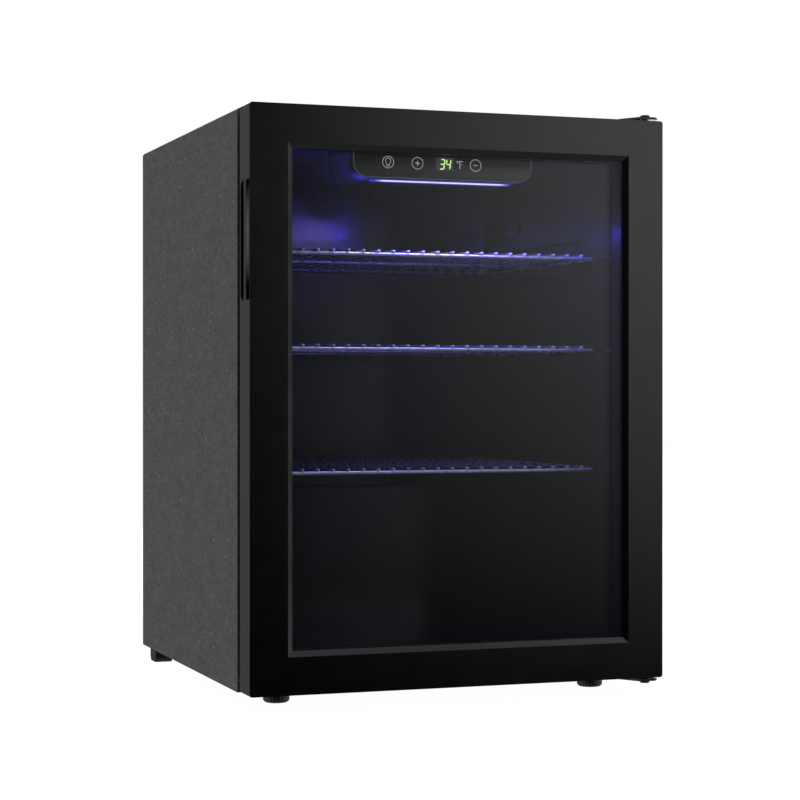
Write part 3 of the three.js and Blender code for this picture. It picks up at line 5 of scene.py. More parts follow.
import bmesh
import bpy
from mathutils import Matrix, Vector


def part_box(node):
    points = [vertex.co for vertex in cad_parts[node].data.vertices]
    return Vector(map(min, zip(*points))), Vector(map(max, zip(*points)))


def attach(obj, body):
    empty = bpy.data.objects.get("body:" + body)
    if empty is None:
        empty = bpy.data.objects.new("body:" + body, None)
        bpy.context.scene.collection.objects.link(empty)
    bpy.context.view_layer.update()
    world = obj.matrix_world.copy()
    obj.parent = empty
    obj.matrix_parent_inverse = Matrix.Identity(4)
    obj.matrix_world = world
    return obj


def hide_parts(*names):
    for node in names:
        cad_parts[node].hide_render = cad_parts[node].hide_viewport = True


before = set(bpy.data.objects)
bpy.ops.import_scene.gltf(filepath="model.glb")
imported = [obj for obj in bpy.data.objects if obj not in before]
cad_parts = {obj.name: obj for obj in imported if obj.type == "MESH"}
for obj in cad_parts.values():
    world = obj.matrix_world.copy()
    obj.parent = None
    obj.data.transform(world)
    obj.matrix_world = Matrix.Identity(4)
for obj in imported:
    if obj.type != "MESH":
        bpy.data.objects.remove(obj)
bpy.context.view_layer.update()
MM = 0.001


# Shader helpers.


def new_material(name, color, roughness, metallic=0.0, **values):
    """A principled material; values are further sockets of the shader, with _ for a space."""
    material = bpy.data.materials.new(name)
    material.use_nodes = True
    shader = material.node_tree.nodes["Principled BSDF"]
    shader.inputs["Base Color"].default_value = (*color, 1.0)
    shader.inputs["Roughness"].default_value = roughness
    shader.inputs["Metallic"].default_value = metallic
    for key, value in values.items():
        shader.inputs[key.replace("_", " ")].default_value = value
    return material


def shader_of(material):
    return material.node_tree.nodes["Principled BSDF"]


def make(material, kind, inputs=None, **settings):
    """A node of that kind, with its sockets set to a value or joined to another node's socket."""
    node = material.node_tree.nodes.new(kind)
    for key, value in settings.items():
        setattr(node, key, value)
    for key, value in (inputs or {}).items():
        if isinstance(value, bpy.types.NodeSocket):
            material.node_tree.links.new(value, node.inputs[key])
        else:
            node.inputs[key].default_value = value
    return node


def place(material, stretch=(1.0, 1.0, 1.0)):
    """The point on the object, in metres, stretched along each axis."""
    point = make(material, "ShaderNodeTexCoord").outputs["Object"]
    if stretch == (1.0, 1.0, 1.0):
        return point
    return make(material, "ShaderNodeMapping", {"Vector": point, "Scale": stretch}).outputs[0]


def noise(material, scale, detail=3.0, rough=0.5, stretch=(1.0, 1.0, 1.0), distortion=0.0):
    inputs = {
        "Vector": place(material, stretch),
        "Scale": scale,
        "Detail": detail,
        "Roughness": rough,
        "Distortion": distortion,
    }
    return make(material, "ShaderNodeTexNoise", inputs).outputs["Fac"]


def cells(material, scale, feature="F1", stretch=(1.0, 1.0, 1.0)):
    inputs = {"Vector": place(material, stretch), "Scale": scale}
    return make(material, "ShaderNodeTexVoronoi", inputs, feature=feature).outputs["Distance"]


def coordinate(material, axis):
    """The point's place along one axis, in metres."""
    return make(material, "ShaderNodeSeparateXYZ", {0: place(material)}).outputs[axis]


def remap(material, value, low, high, to_low=0.0, to_high=1.0, smooth=False):
    inputs = {"Value": value, "From Min": low, "From Max": high, "To Min": to_low, "To Max": to_high}
    kind = "SMOOTHSTEP" if smooth else "LINEAR"
    return make(material, "ShaderNodeMapRange", inputs, interpolation_type=kind).outputs["Result"]


def maths(material, operation, first, second=0.0):
    return make(material, "ShaderNodeMath", {0: first, 1: second}, operation=operation).outputs[0]


def away(material, axis, middle):
    """The distance from a plane across that axis, in metres."""
    offset = maths(material, "SUBTRACT", coordinate(material, axis), middle)
    return maths(material, "ABSOLUTE", offset)


def blend(material, share, first, second):
    """A colour between two, by share."""
    node = make(material, "ShaderNodeMix", {"Factor": share}, data_type="RGBA")
    for index, value in ((6, first), (7, second)):
        if isinstance(value, bpy.types.NodeSocket):
            material.node_tree.links.new(value, node.inputs[index])
        else:
            node.inputs[index].default_value = (*value, 1.0)
    return node.outputs[2]


def feed(material, socket, value):
    material.node_tree.links.new(value, shader_of(material).inputs[socket])


def two_tone(material, value, low, high, first, second):
    """Base colour that goes from the first to the second as the value goes from low to high."""
    share = remap(material, value, low, high)
    feed(material, "Base Color", blend(material, share, first, second))


def relief(material, height, depth, strength):
    """A bump of that depth in metres."""
    inputs = {"Height": height, "Distance": depth, "Strength": strength}
    return make(material, "ShaderNodeBump", inputs).outputs["Normal"]


def moulded(name, color, roughness, grain=0.25, grain_scale=1600.0, tone=0.25):
    """A moulded or painted finish: fine grain, uneven gloss and a slow drift of tone."""
    material = new_material(name, color, roughness)
    drift = noise(material, 9.0, 4.0)
    light = tuple(min(1.0, c * (1.0 + tone)) for c in color)
    dark = tuple(c * (1.0 - tone) for c in color)
    two_tone(material, drift, 0.3, 0.7, dark, light)
    uneven = noise(material, 45.0, 5.0, 0.6)
    gloss = remap(material, uneven, 0.3, 0.7, max(0.03, roughness * 0.8), roughness * 1.2)
    feed(material, "Roughness", gloss)
    fine = noise(material, grain_scale, 2.0, 0.6)
    feed(material, "Normal", relief(material, fine, 0.00006, grain))
    return material


# Finishes.


def pebbled_paint():
    """Embossed painted steel: leathery pebbles, longer along the depth, with scattered specks."""
    material = new_material("pebbled_paint", (0.12, 0.12, 0.12), 0.5)
    deep_wise = (1.0, 0.42, 1.0)
    pebbles = noise(material, 210.0, 4.0, 0.6, deep_wise, 0.9)
    islands = cells(material, 190.0, stretch=deep_wise)
    patches = noise(material, 60.0, 3.0, 0.55, deep_wise)
    height = maths(material, "ADD", pebbles, maths(material, "MULTIPLY", islands, -0.3))
    height = maths(material, "ADD", height, maths(material, "MULTIPLY", patches, 0.42))
    tone = remap(material, height, 0.38, 0.8)
    paint = blend(material, tone, (0.08, 0.08, 0.08), (0.148, 0.148, 0.148))
    bright = remap(material, cells(material, 82.0, stretch=deep_wise), 0.06, 0.15, 0.6, 0.0)
    dark = remap(material, cells(material, 97.0, stretch=deep_wise), 0.07, 0.18, 0.75, 0.0)
    paint = blend(material, bright, paint, (0.34, 0.34, 0.34))
    feed(material, "Base Color", blend(material, dark, paint, (0.04, 0.04, 0.04)))
    feed(material, "Roughness", remap(material, pebbles, 0.3, 0.7, 0.42, 0.6))
    feed(material, "Normal", relief(material, height, 0.0008, 0.3))
    return material


def satin_door():
    return moulded("satin_door", (0.0036, 0.0034, 0.0034), 0.13, grain=0.03, tone=0.1)


def gloss_liner():
    material = new_material("gloss_liner", (0.012, 0.012, 0.013), 0.16)
    peel = noise(material, 160.0, 2.0)
    feed(material, "Normal", relief(material, peel, 0.0002, 0.12))
    feed(material, "Roughness", remap(material, noise(material, 30.0, 4.0), 0.3, 0.7, 0.1, 0.24))
    return material


def piano_black():
    material = new_material("piano_black", (0.008, 0.008, 0.009), 0.08)
    smudges = noise(material, 60.0, 5.0, 0.65, distortion=1.2)
    feed(material, "Roughness", remap(material, smudges, 0.4, 0.75, 0.06, 0.2))
    drift = noise(material, 14.0, 2.0)
    two_tone(material, drift, 0.3, 0.7, (0.007, 0.007, 0.008), (0.012, 0.012, 0.013))
    return material


def zinc_plate():
    material = new_material("zinc_plate", (0.5, 0.51, 0.52), 0.38, 0.9)
    spangle = cells(material, 130.0)
    two_tone(material, spangle, 0.0, 0.7, (0.4, 0.41, 0.43), (0.62, 0.63, 0.64))
    streaks = noise(material, 60.0, 4.0, stretch=(0.2, 4.0, 4.0))
    feed(material, "Roughness", remap(material, streaks, 0.3, 0.7, 0.28, 0.5))
    feed(material, "Normal", relief(material, noise(material, 900.0, 2.0), 0.00003, 0.3))
    return material


def rigid_foam():
    material = new_material("rigid_foam", (0.72, 0.58, 0.26), 0.92)
    pores = cells(material, 900.0, "SMOOTH_F1")
    skin = noise(material, 28.0, 5.0, 0.6)
    two_tone(material, skin, 0.3, 0.7, (0.62, 0.46, 0.18), (0.8, 0.67, 0.34))
    feed(material, "Normal", relief(material, pores, 0.0005, 0.6))
    return material


def circuit_green():
    material = new_material("circuit_green", (0.02, 0.13, 0.05), 0.32)
    inputs = {
        "Vector": place(material),
        "Color1": (0.015, 0.11, 0.045, 1.0),
        "Color2": (0.02, 0.14, 0.055, 1.0),
        "Mortar": (0.05, 0.24, 0.09, 1.0),
        "Scale": 120.0,
        "Mortar Size": 0.03,
    }
    tracks = make(material, "ShaderNodeTexBrick", inputs)
    feed(material, "Base Color", tracks.outputs["Color"])
    feed(material, "Normal", relief(material, tracks.outputs["Fac"], 0.00003, 0.4))
    return material


def lit_diffuser():
    """A frosted strip lit from inside: a thin pale core that fades at both ends, deep blue round it."""
    material = new_material("led_light", (0.05, 0.04, 0.12), 0.3)
    low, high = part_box("led_diffuser")
    end = remap(material, away(material, "X", 0.0), high.x * 0.82, high.x, smooth=True)
    middle = low.z + (high.z - low.z) * 0.42
    core = remap(material, away(material, "Z", middle), 0.0003, 0.0013, 1.0, 0.0, smooth=True)
    core = maths(material, "MULTIPLY", core, remap(material, end, 0.0, 1.0, 1.0, 0.12))
    ripple = remap(material, noise(material, 120.0, 1.0), 0.3, 0.7, 0.9, 1.1)
    feed(material, "Emission Color", blend(material, core, (0.055, 0.03, 0.9), (0.86, 0.82, 1.0)))
    glow = remap(material, core, 0.0, 1.0, 0.28, 1.25)
    feed(material, "Emission Strength", maths(material, "MULTIPLY", glow, ripple))
    return material


def display_window():
    """A smoked window, faintly lit from behind."""
    material = moulded("display_window", (0.05, 0.055, 0.048), 0.14, grain=0.02, tone=0.12)
    backlight = noise(material, 90.0, 2.0)
    shader_of(material).inputs["Emission Color"].default_value = (0.75, 0.85, 0.62, 1.0)
    feed(material, "Emission Strength", remap(material, backlight, 0.3, 0.7, 0.026, 0.04))
    return material


def grip_plastic():
    """The pull's pocket: satin on its front rib; behind it the reflection is cut to almost none, as
    painted shade in the pocket.
    """
    material = moulded("grip_plastic", (0.004, 0.004, 0.004), 0.3, grain=0.2)
    rib_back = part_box("handle_insert")[0].y + 0.0056
    back = coordinate(material, "Y")
    # Painted shade: the pocket behind the rib reflects almost nothing.
    sheen = remap(material, back, rib_back, rib_back + 0.0006, 0.6, 0.05)
    feed(material, "Specular IOR Level", sheen)
    return material


def scoop_plastic():
    """The pull's front hollow: a painted highlight half way up, fading to painted shade, black, at both
    ends.
    """
    material = moulded("scoop_plastic", (0.003, 0.003, 0.003), 0.3, grain=0.1)
    low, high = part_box("handle_insert")
    middle, half = (low.z + high.z) / 2, (high.z - low.z) / 2
    off = away(material, "Z", middle + half * 0.1)
    # Painted highlight half way up the hollow, painted shade towards its ends.
    sheen = remap(material, off, half * 0.1, half * 0.85, 0.75, 0.0, smooth=True)
    feed(material, "Specular IOR Level", sheen)
    return material


def coated_wire():
    """Clear-coated wire with a painted highlight: bright along its front edge, duller behind."""
    material = new_material("coated_wire", (0.26, 0.26, 0.27), 0.3, 0.3)
    coat = noise(material, 240.0, 4.0)
    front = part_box("shelf_lower")[0].y
    back = coordinate(material, "Y")
    # Painted highlight: lighter colour along the shelf's front edge, where the light falls on it.
    painted_front_highlight = remap(material, back, front + 0.0035, front + 0.0095, 1.0, 0.0, smooth=True)
    share = remap(material, coat, 0.3, 0.7)
    dull = blend(material, share, (0.14, 0.14, 0.15), (0.24, 0.24, 0.25))
    bright = blend(material, share, (0.7, 0.7, 0.72), (0.95, 0.95, 0.97))
    feed(material, "Base Color", blend(material, painted_front_highlight, dull, bright))
    feed(material, "Roughness", remap(material, noise(material, 90.0, 3.0), 0.3, 0.7, 0.22, 0.38))
    feed(material, "Normal", relief(material, coat, 0.00005, 0.2))
    return material


def clear_glass():
    """See-through, with a weak reflection that grows at a slant and a trace of haze."""
    material = bpy.data.materials.new("clear_glass")
    material.use_nodes = True
    tree = material.node_tree
    tree.nodes.remove(tree.nodes["Principled BSDF"])
    through = make(material, "ShaderNodeBsdfTransparent", {"Color": (0.93, 0.945, 0.95, 1.0)})
    haze = remap(material, noise(material, 6.0, 5.0, 0.6), 0.3, 0.75, 0.02, 0.07)
    mirror = make(material, "ShaderNodeBsdfGlossy", {"Color": (1, 1, 1, 1), "Roughness": haze})
    facing = make(material, "ShaderNodeFresnel", {"IOR": 1.42}).outputs[0]
    share = maths(material, "MULTIPLY", facing, 0.32)
    inputs = {0: share, 1: through.outputs[0], 2: mirror.outputs[0]}
    mixed = make(material, "ShaderNodeMixShader", inputs)
    tree.links.new(mixed.outputs[0], tree.nodes["Material Output"].inputs["Surface"])
    return material


def soft_rubber():
    material = new_material("soft_rubber", (0.012, 0.012, 0.012), 0.62)
    dust = noise(material, 120.0, 6.0, 0.7)
    two_tone(material, dust, 0.45, 0.75, (0.01, 0.01, 0.01), (0.03, 0.029, 0.028))
    feed(material, "Roughness", remap(material, dust, 0.3, 0.7, 0.5, 0.75))
    feed(material, "Normal", relief(material, noise(material, 1100.0, 2.0), 0.00008, 0.4))
    return material


def pipe_copper():
    material = new_material("pipe_copper", (0.62, 0.29, 0.16), 0.32, 1.0)
    stain = noise(material, 48.0, 6.0, 0.68)
    two_tone(material, stain, 0.42, 0.68, (0.68, 0.32, 0.18), (0.3, 0.12, 0.07))
    feed(material, "Roughness", remap(material, stain, 0.3, 0.7, 0.24, 0.5))
    feed(material, "Normal", relief(material, noise(material, 700.0, 2.0), 0.00004, 0.3))
    return material


def mill_aluminium():
    material = new_material("mill_aluminium", (0.62, 0.63, 0.64), 0.36, 0.95)
    rolled = noise(material, 90.0, 4.0, stretch=(6.0, 1.0, 0.3))
    two_tone(material, rolled, 0.3, 0.7, (0.52, 0.53, 0.54), (0.7, 0.71, 0.72))
    feed(material, "Roughness", remap(material, rolled, 0.3, 0.7, 0.28, 0.46))
    return material


def black_zinc():
    material = new_material("black_zinc", (0.03, 0.03, 0.032), 0.34, 0.7)
    worn = noise(material, 800.0, 4.0)
    two_tone(material, worn, 0.5, 0.75, (0.022, 0.022, 0.024), (0.085, 0.085, 0.09))
    feed(material, "Normal", relief(material, worn, 0.00005, 0.3))
    return material


def printed(name, color, strength):
    """Printed marks that glow with that strength, in slightly uneven ink."""
    material = new_material(name, color, 0.5)
    ink = noise(material, 1400.0, 2.0)
    shaded = tuple(c * 0.8 for c in color)
    two_tone(material, ink, 0.35, 0.65, shaded, color)
    shader_of(material).inputs["Emission Color"].default_value = (*color, 1.0)
    glow = remap(material, ink, 0.3, 0.7, strength * 0.85, strength * 1.15)
    feed(material, "Emission Strength", glow)
    return material


FINISHES = {
    "pebbled_steel": pebbled_paint(),
    "black_steel": moulded("black_paint", (0.012, 0.012, 0.013), 0.3, grain=0.3, grain_scale=380.0),
    "zinc_steel": zinc_plate(),
    "foam": rigid_foam(),
    "liner_plastic": gloss_liner(),
    "black_plastic": moulded("black_plastic", (0.014, 0.014, 0.015), 0.42, grain=0.4),
    "door_plastic": satin_door(),
    "gloss_black": piano_black(),
    "display": display_window(),
    "circuit_board": circuit_green(),
    "led_light": lit_diffuser(),
    "coated_wire": coated_wire(),
    "glass": clear_glass(),
    "rubber": soft_rubber(),
    "white_plastic": moulded("white_acetal", (0.72, 0.71, 0.67), 0.4, tone=0.06),
    "copper": pipe_copper(),
    "aluminium": mill_aluminium(),
}
SCREW = black_zinc()
PRINT = printed("grey_print", (0.46, 0.46, 0.46), 0.75)
# A painted highlight for the light caught on the housing's rim, made with the print's glow.
RIM_HIGHLIGHT_PAINT = printed("edge_line", (0.34, 0.34, 0.35), 0.3)
DIGITS = printed("lit_digits", (0.7, 0.9, 0.34), 1.5)


# Mesh helpers. Sizes are in millimetres and become metres when a piece is built.

# Printed marks go from this far in front of their surface to this far into it, along Y.
INK = (-0.09, 0.02)


class Shape:
    """Points and faces of one piece."""

    def __init__(self):
        self.points = []
        self.faces = []
        self.slots = []

    def add(self, points, faces, slot=0):
        base = len(self.points)
        self.points += [Vector(p) for p in points]
        self.faces += [[base + i for i in face] for face in faces]
        self.slots += [slot] * len(faces)
        return self

    def rings(self, rings, slot=0, closed=False):
        """Skin over a row of rings that all have as many points, capped unless the row is closed."""
        count = len(rings[0])
        points = [p for ring in rings for p in ring]
        faces = []
        spans = len(rings) if closed else len(rings) - 1
        for i in range(spans):
            j = (i + 1) % len(rings)
            for k in range(count):
                m = (k + 1) % count
                faces.append([i * count + k, i * count + m, j * count + m, j * count + k])
        if not closed:
            faces.append(list(range(count))[::-1])
            faces.append([(len(rings) - 1) * count + k for k in range(count)])
        return self.add(points, faces, slot)

    def lathe(self, profile, x, y, segments, slot=0, flutes=None):
        """Upright turned shape. profile is (radius, height); flutes changes a radius by its angle."""
        rings = []
        for radius, z in profile:
            ring = []
            for turn in full_turn(segments):
                r = flutes(radius, z, turn) if flutes else radius
                ring.append((x + r * math.cos(turn), y + r * math.sin(turn), z))
            rings.append(ring)
        return self.rings(rings, slot)

    def tube(self, path, radius, sides, slot=0, closed=False):
        """Round bar along a path of points."""
        path = [Vector(p) for p in path]
        count = len(path)
        rings = []
        across = None
        for i, point in enumerate(path):
            before = path[i - 1] if closed or i > 0 else point
            after = path[(i + 1) % count] if closed or i < count - 1 else point
            along = (after - before).normalized()
            if across is None:
                guess = Vector((0, 0, 1)) if abs(along.z) < 0.9 else Vector((1, 0, 0))
                across = along.cross(guess).normalized()
            across = (across - along * across.dot(along)).normalized()
            over = along.cross(across)
            ring = []
            for turn in full_turn(sides):
                ring.append(point + (across * math.cos(turn) + over * math.sin(turn)) * radius)
            rings.append(ring)
        return self.rings(rings, slot, closed)

    def wire_bar(self, x, z, profile, sides):
        """A straight bar along Y. profile is (y, radius)."""
        turns = full_turn(sides)
        rings = []
        for y, radius in profile:
            rings.append([(x + radius * math.cos(t), y, z + radius * math.sin(t)) for t in turns])
        return self.rings(rings)

    def slab(self, outline, low, high, axis="Z", at=(0, 0, 0)):
        """A flat outline, thickened along an axis."""
        return self.rings([[on_axis(at, axis, u, v, w) for u, v in outline] for w in (low, high)])

    def build(self, name, body, *materials, smooth, slot, replaces=()):
        """The object on its body; edges over smooth degrees stay sharp."""
        mesh = bpy.data.meshes.new(name)
        mesh.from_pydata([p * MM for p in self.points], [], self.faces)
        for material in materials:
            mesh.materials.append(material)
        mesh.polygons.foreach_set("material_index", self.slots)
        mesh.update()
        made = bpy.data.objects.new(name, mesh)
        bpy.context.scene.collection.objects.link(made)
        face_outwards(mesh)
        mesh.shade_smooth()
        mesh.set_sharp_from_angle(angle=math.radians(smooth))
        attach(made, body)
        if replaces:
            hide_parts(*replaces)
        return made


def full_turn(steps):
    return [2 * math.pi * k / steps for k in range(steps)]


def quarter_turn(steps):
    return [math.pi / 2 * k / steps for k in range(steps + 1)]


def box_of(node):
    """The lowest and highest corner of a CAD node, in millimetres."""
    return [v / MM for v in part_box(node)]


def on_axis(at, axis, u, v, w):
    """The point u, v across the Y or Z axis and w along it, from at."""
    x, y, z = at
    if axis == "Y":
        return (x + u, y + w, z + v)
    return (x + u, y + v, z + w)


def face_outwards(mesh):
    work = bmesh.new()
    work.from_mesh(mesh)
    bmesh.ops.recalc_face_normals(work, faces=work.faces)
    work.to_mesh(mesh)
    work.free()


def add_bevel(made, width):
    bevel = made.modifiers.new("edges", "BEVEL")
    bevel.width = width * MM
    bevel.segments = 2
    bevel.limit_method = "ANGLE"
    bevel.angle_limit = math.radians(32)
    normals = made.modifiers.new("normals", "WEIGHTED_NORMAL")
    normals.keep_sharp = True


def rounded(corners, radius, steps, closed=False):
    """A path with each corner rounded."""
    corners = [Vector(c) for c in corners]
    count = len(corners)
    path = []
    for i, corner in enumerate(corners):
        if not closed and i in (0, count - 1):
            path.append(corner)
            continue
        back = (corners[i - 1] - corner).normalized()
        ahead = (corners[(i + 1) % count] - corner).normalized()
        half = math.acos(max(-1.0, min(1.0, back.dot(ahead)))) / 2
        reach = radius / math.tan(half)
        centre = corner + (back + ahead).normalized() * (radius / math.sin(half))
        start = (corner + back * reach - centre).normalized()
        end = (corner + ahead * reach - centre).normalized()
        path += [centre + start.slerp(end, k / steps) * radius for k in range(steps + 1)]
    return path


def rectangle(x0, x1, y0, y1, radius, steps):
    """Outline of a rectangle with rounded corners."""
    outline = []
    for cx, cy, turn in (
        (x1 - radius, y0 + radius, -90),
        (x1 - radius, y1 - radius, 0),
        (x0 + radius, y1 - radius, 90),
        (x0 + radius, y0 + radius, 180),
    ):
        for k in range(steps + 1):
            angle = math.radians(turn + 90 * k / steps)
            outline.append((cx + radius * math.cos(angle), cy + radius * math.sin(angle)))
    return outline


def ring_band(shape, centre, outer, inner, segments):
    """A printed ring that faces the front."""
    proud, sunk = INK
    rings = []
    for turn in full_turn(segments):
        c, s = math.cos(turn), math.sin(turn)
        corners = ((outer, proud), (inner, proud), (inner, sunk), (outer, sunk))
        rings.append([on_axis(centre, "Y", r * c, r * s, y) for r, y in corners])
    return shape.rings(rings, closed=True)


def stroke(shape, path, width, at, ink=INK, closed=False):
    """A printed line that faces the front, along a path of (x, z) points from at."""
    proud, sunk = ink
    count = len(path)
    rings = []
    for i in range(count):
        u0, v0 = path[i - 1] if closed or i > 0 else path[i]
        u1, v1 = path[(i + 1) % count] if closed or i < count - 1 else path[i]
        length = math.hypot(u1 - u0, v1 - v0)
        nu, nv = -(v1 - v0) / length * width / 2, (u1 - u0) / length * width / 2
        u, v = path[i]
        corners = ((1, proud), (-1, proud), (-1, sunk), (1, sunk))
        rings.append([on_axis(at, "Y", u + s * nu, v + s * nv, y) for s, y in corners])
    return shape.rings(rings, closed=closed)


# CAD nodes: finishes, worked edges and smooth curves.


# Edges that turn by more than this stay sharp and can be bevelled.
SHARP = math.radians(26)


def smoothing_tree():
    """Geometry nodes that shade smooth and keep sharp edges sharp."""
    tree = bpy.data.node_groups.new("smooth_by_angle", "GeometryNodeTree")
    tree.interface.new_socket("Geometry", in_out="INPUT", socket_type="NodeSocketGeometry")
    tree.interface.new_socket("Geometry", in_out="OUTPUT", socket_type="NodeSocketGeometry")
    start = tree.nodes.new("NodeGroupInput")
    end = tree.nodes.new("NodeGroupOutput")
    faces = tree.nodes.new("GeometryNodeSetShadeSmooth")
    faces.domain = "FACE"
    edges = tree.nodes.new("GeometryNodeSetShadeSmooth")
    edges.domain = "EDGE"
    edges.inputs["Shade Smooth"].default_value = False
    angle = tree.nodes.new("GeometryNodeInputMeshEdgeAngle")
    over = tree.nodes.new("FunctionNodeCompare")
    over.data_type = "FLOAT"
    over.operation = "GREATER_THAN"
    over.inputs[1].default_value = SHARP
    tree.links.new(start.outputs[0], faces.inputs["Geometry"])
    tree.links.new(faces.outputs[0], edges.inputs["Geometry"])
    tree.links.new(angle.outputs[0], over.inputs[0])
    tree.links.new(over.outputs[0], edges.inputs["Selection"])
    tree.links.new(edges.outputs[0], end.inputs[0])
    return tree


SMOOTHING = smoothing_tree()
# Bevel widths in millimetres; a node that isn't here has no bevel.
EDGES = {
    "outer_shell": 0.35,
    "base_plate": 0.3,
    "inner_liner": 0.8,
    "rear_left_foot": 1.0,
    "rear_right_foot": 1.0,
    "air_duct_cover": 0.5,
    "fan_shroud": 0.6,
    "compressor_rail": 0.3,
    "relay_cover": 1.2,
    "drip_tray": 0.6,
    "control_housing": 0.5,
    "control_fascia": 0.25,
    "display_module": 0.2,
    "control_board": 0.1,
    "led_diffuser": 0.8,
    "light_key": 0.3,
    "plus_key": 0.3,
    "minus_key": 0.3,
    "door_frame": 0.45,
    "door_inner_frame": 0.4,
    "handle_insert": 0.45,
    "outer_glass": 0.3,
    "inner_glass": 0.3,
    "top_hinge_bracket": 0.4,
    "bottom_hinge_bracket": 0.4,
    "top_hinge_pin": 0.3,
    "bottom_hinge_pin": 0.3,
    "cord_gland": 0.3,
}


def finish_node(name, node):
    for slot in node.material_slots:
        slot.material = FINISHES[slot.material.name.split(".")[0]]
    normals = node.data.attributes.get("custom_normal")
    if normals:
        node.data.attributes.remove(normals)
    weld = node.modifiers.new("weld", "WELD")
    weld.merge_threshold = 0.000002
    smooth = node.modifiers.new("smooth", "NODES")
    smooth.node_group = SMOOTHING
    if name in EDGES:
        bevel = node.modifiers.new("edges", "BEVEL")
        bevel.width = EDGES[name] * MM
        bevel.segments = 3
        bevel.limit_method = "ANGLE"
        bevel.angle_limit = SHARP
    weighted = node.modifiers.new("normals", "WEIGHTED_NORMAL")
    weighted.keep_sharp = True


for node_name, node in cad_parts.items():
    finish_node(node_name, node)


# Wire shelves: a rim bar and a cross bar, with wires on top that end in rounded tips.

BAR_RADIUS = 2.0
BAR_RISE = 2.5
RIM_CORNER = 10
WIRE_RADIUS = 1.5
WIRE_PITCH = 17.6
WIRES_EACH_SIDE = 10


def shelf(node, body):
    low, high = box_of(node)
    z = low.z + BAR_RISE
    front = low.y + 2 * WIRE_RADIUS + BAR_RADIUS
    back = high.y - BAR_RADIUS
    half = high.x - BAR_RADIUS
    corners = [(-half, front, z), (half, front, z), (half, back, z), (-half, back, z)]
    shape = Shape()
    shape.tube(rounded(corners, RIM_CORNER, 9, closed=True), BAR_RADIUS, 18, closed=True)
    middle = (front + back) / 2
    shape.tube([(1 - half, middle, z), (half - 1, middle, z)], BAR_RADIUS, 14)
    tip = low.y + 0.3
    profile = [(tip, 0.7), (tip + 0.5, 1.2), (tip + 1.4, WIRE_RADIUS), (back + 1, WIRE_RADIUS)]
    for i in range(-WIRES_EACH_SIDE, WIRES_EACH_SIDE + 1):
        shape.wire_bar(i * WIRE_PITCH, high.z - WIRE_RADIUS, profile, 12)
    shape.build(
        f"{node}_wires",
        body,
        FINISHES["coated_wire"],
        smooth=50,
        replaces=[node],
        slot="coated_wire",
    )


for level in ("lower", "middle", "upper"):
    shelf(f"shelf_{level}", f"{level}_shelf")


# Door gasket: a soft profile with a magnet chamber, bellows and a push-in dart, mitred at the
# corners.

GASKET_HALF = 10


def gasket():
    low, high = box_of("door_gasket")
    middle_x = high.x - GASKET_HALF
    centre_z = (low.z + high.z) / 2
    middle_z = high.z - GASKET_HALF - centre_z
    face = high.y
    # Each point is (outwards from the gasket's middle line, along Y from the cabinet's face).
    profile = [
        (-6.5, 0.0), (6.0, 0.0), (7.2, -0.7), (7.4, -2.1), (6.2, -3.3), (8.6, -4.6), (9.7, -6.4),
        (8.4, -8.2), (9.8, -9.6), (9.8, -10.3), (1.4, -10.3), (1.3, -12.0), (1.45, -13.6),
        (0.9, -15.2), (0.3, -17.2), (-0.3, -17.2), (-0.9, -15.2), (-1.45, -13.6), (-1.3, -12.0),
        (-1.4, -10.3), (-9.8, -10.3), (-9.8, -9.6), (-7.4, -8.0), (-8.8, -6.2), (-6.4, -4.4),
        (-8.2, -2.8), (-8.0, -0.9),
    ]
    rings = []
    for sx, sz in ((-1, -1), (1, -1), (1, 1), (-1, 1)):
        rings.append(
            [(sx * (middle_x + u), face + y, centre_z + sz * (middle_z + u)) for u, y in profile]
        )
    shape = Shape().rings(rings, closed=True)
    made = shape.build(
        "gasket_bellows",
        "door",
        FINISHES["rubber"],
        smooth=20,
        replaces=["door_gasket"],
        slot="rubber",
    )
    add_bevel(made, 0.25)


gasket()


# Front hollow of the finger pull.


SCOOP_WIDTH = 15.5
SCOOP_DEPTH = 2.4
SCOOP_BORDER = 0.6
# How far the back and face of the dark skin, which carries the painted highlight and shade, lie in
# front of the hollow's surface.
SCOOP_SKIN = (0.06, 0.2)


def pull_scoop():
    """A dark skin that lines the arc-shaped hollow in the door's edge and carries its painted highlight
    and painted shade.
    """
    low, high = box_of("handle_insert")
    door_front = box_of("door_frame")[0].y
    radius = ((SCOOP_WIDTH / 2) ** 2 + SCOOP_DEPTH**2) / (2 * SCOOP_DEPTH)
    x = low.x - radius + SCOOP_DEPTH
    y = door_front + SCOOP_BORDER + SCOOP_WIDTH / 2
    turns = [math.radians(turn) for turn in range(-31, 32, 2)]
    back, face = (radius - gap for gap in SCOOP_SKIN)
    section = [(x + back * math.cos(turn), y + back * math.sin(turn)) for turn in turns]
    section += [(x + face * math.cos(turn), y + face * math.sin(turn)) for turn in turns[::-1]]
    shape = Shape().slab(section, low.z + 0.3, high.z - 0.3)
    shape.build("pull_scoop", "door", scoop_plastic(), smooth=30, slot="door_plastic")
    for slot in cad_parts["handle_insert"].material_slots:
        slot.material = grip_plastic()


pull_scoop()


# Levelling feet: a fluted pad with a threaded stem.

FLUTES = 24
FLUTE_DEPTH = 0.55
STEM_BOTTOM = 13.0
THREAD_STEP = 0.62
THREAD_ROOT = 3.4
THREAD_CREST = 4.0


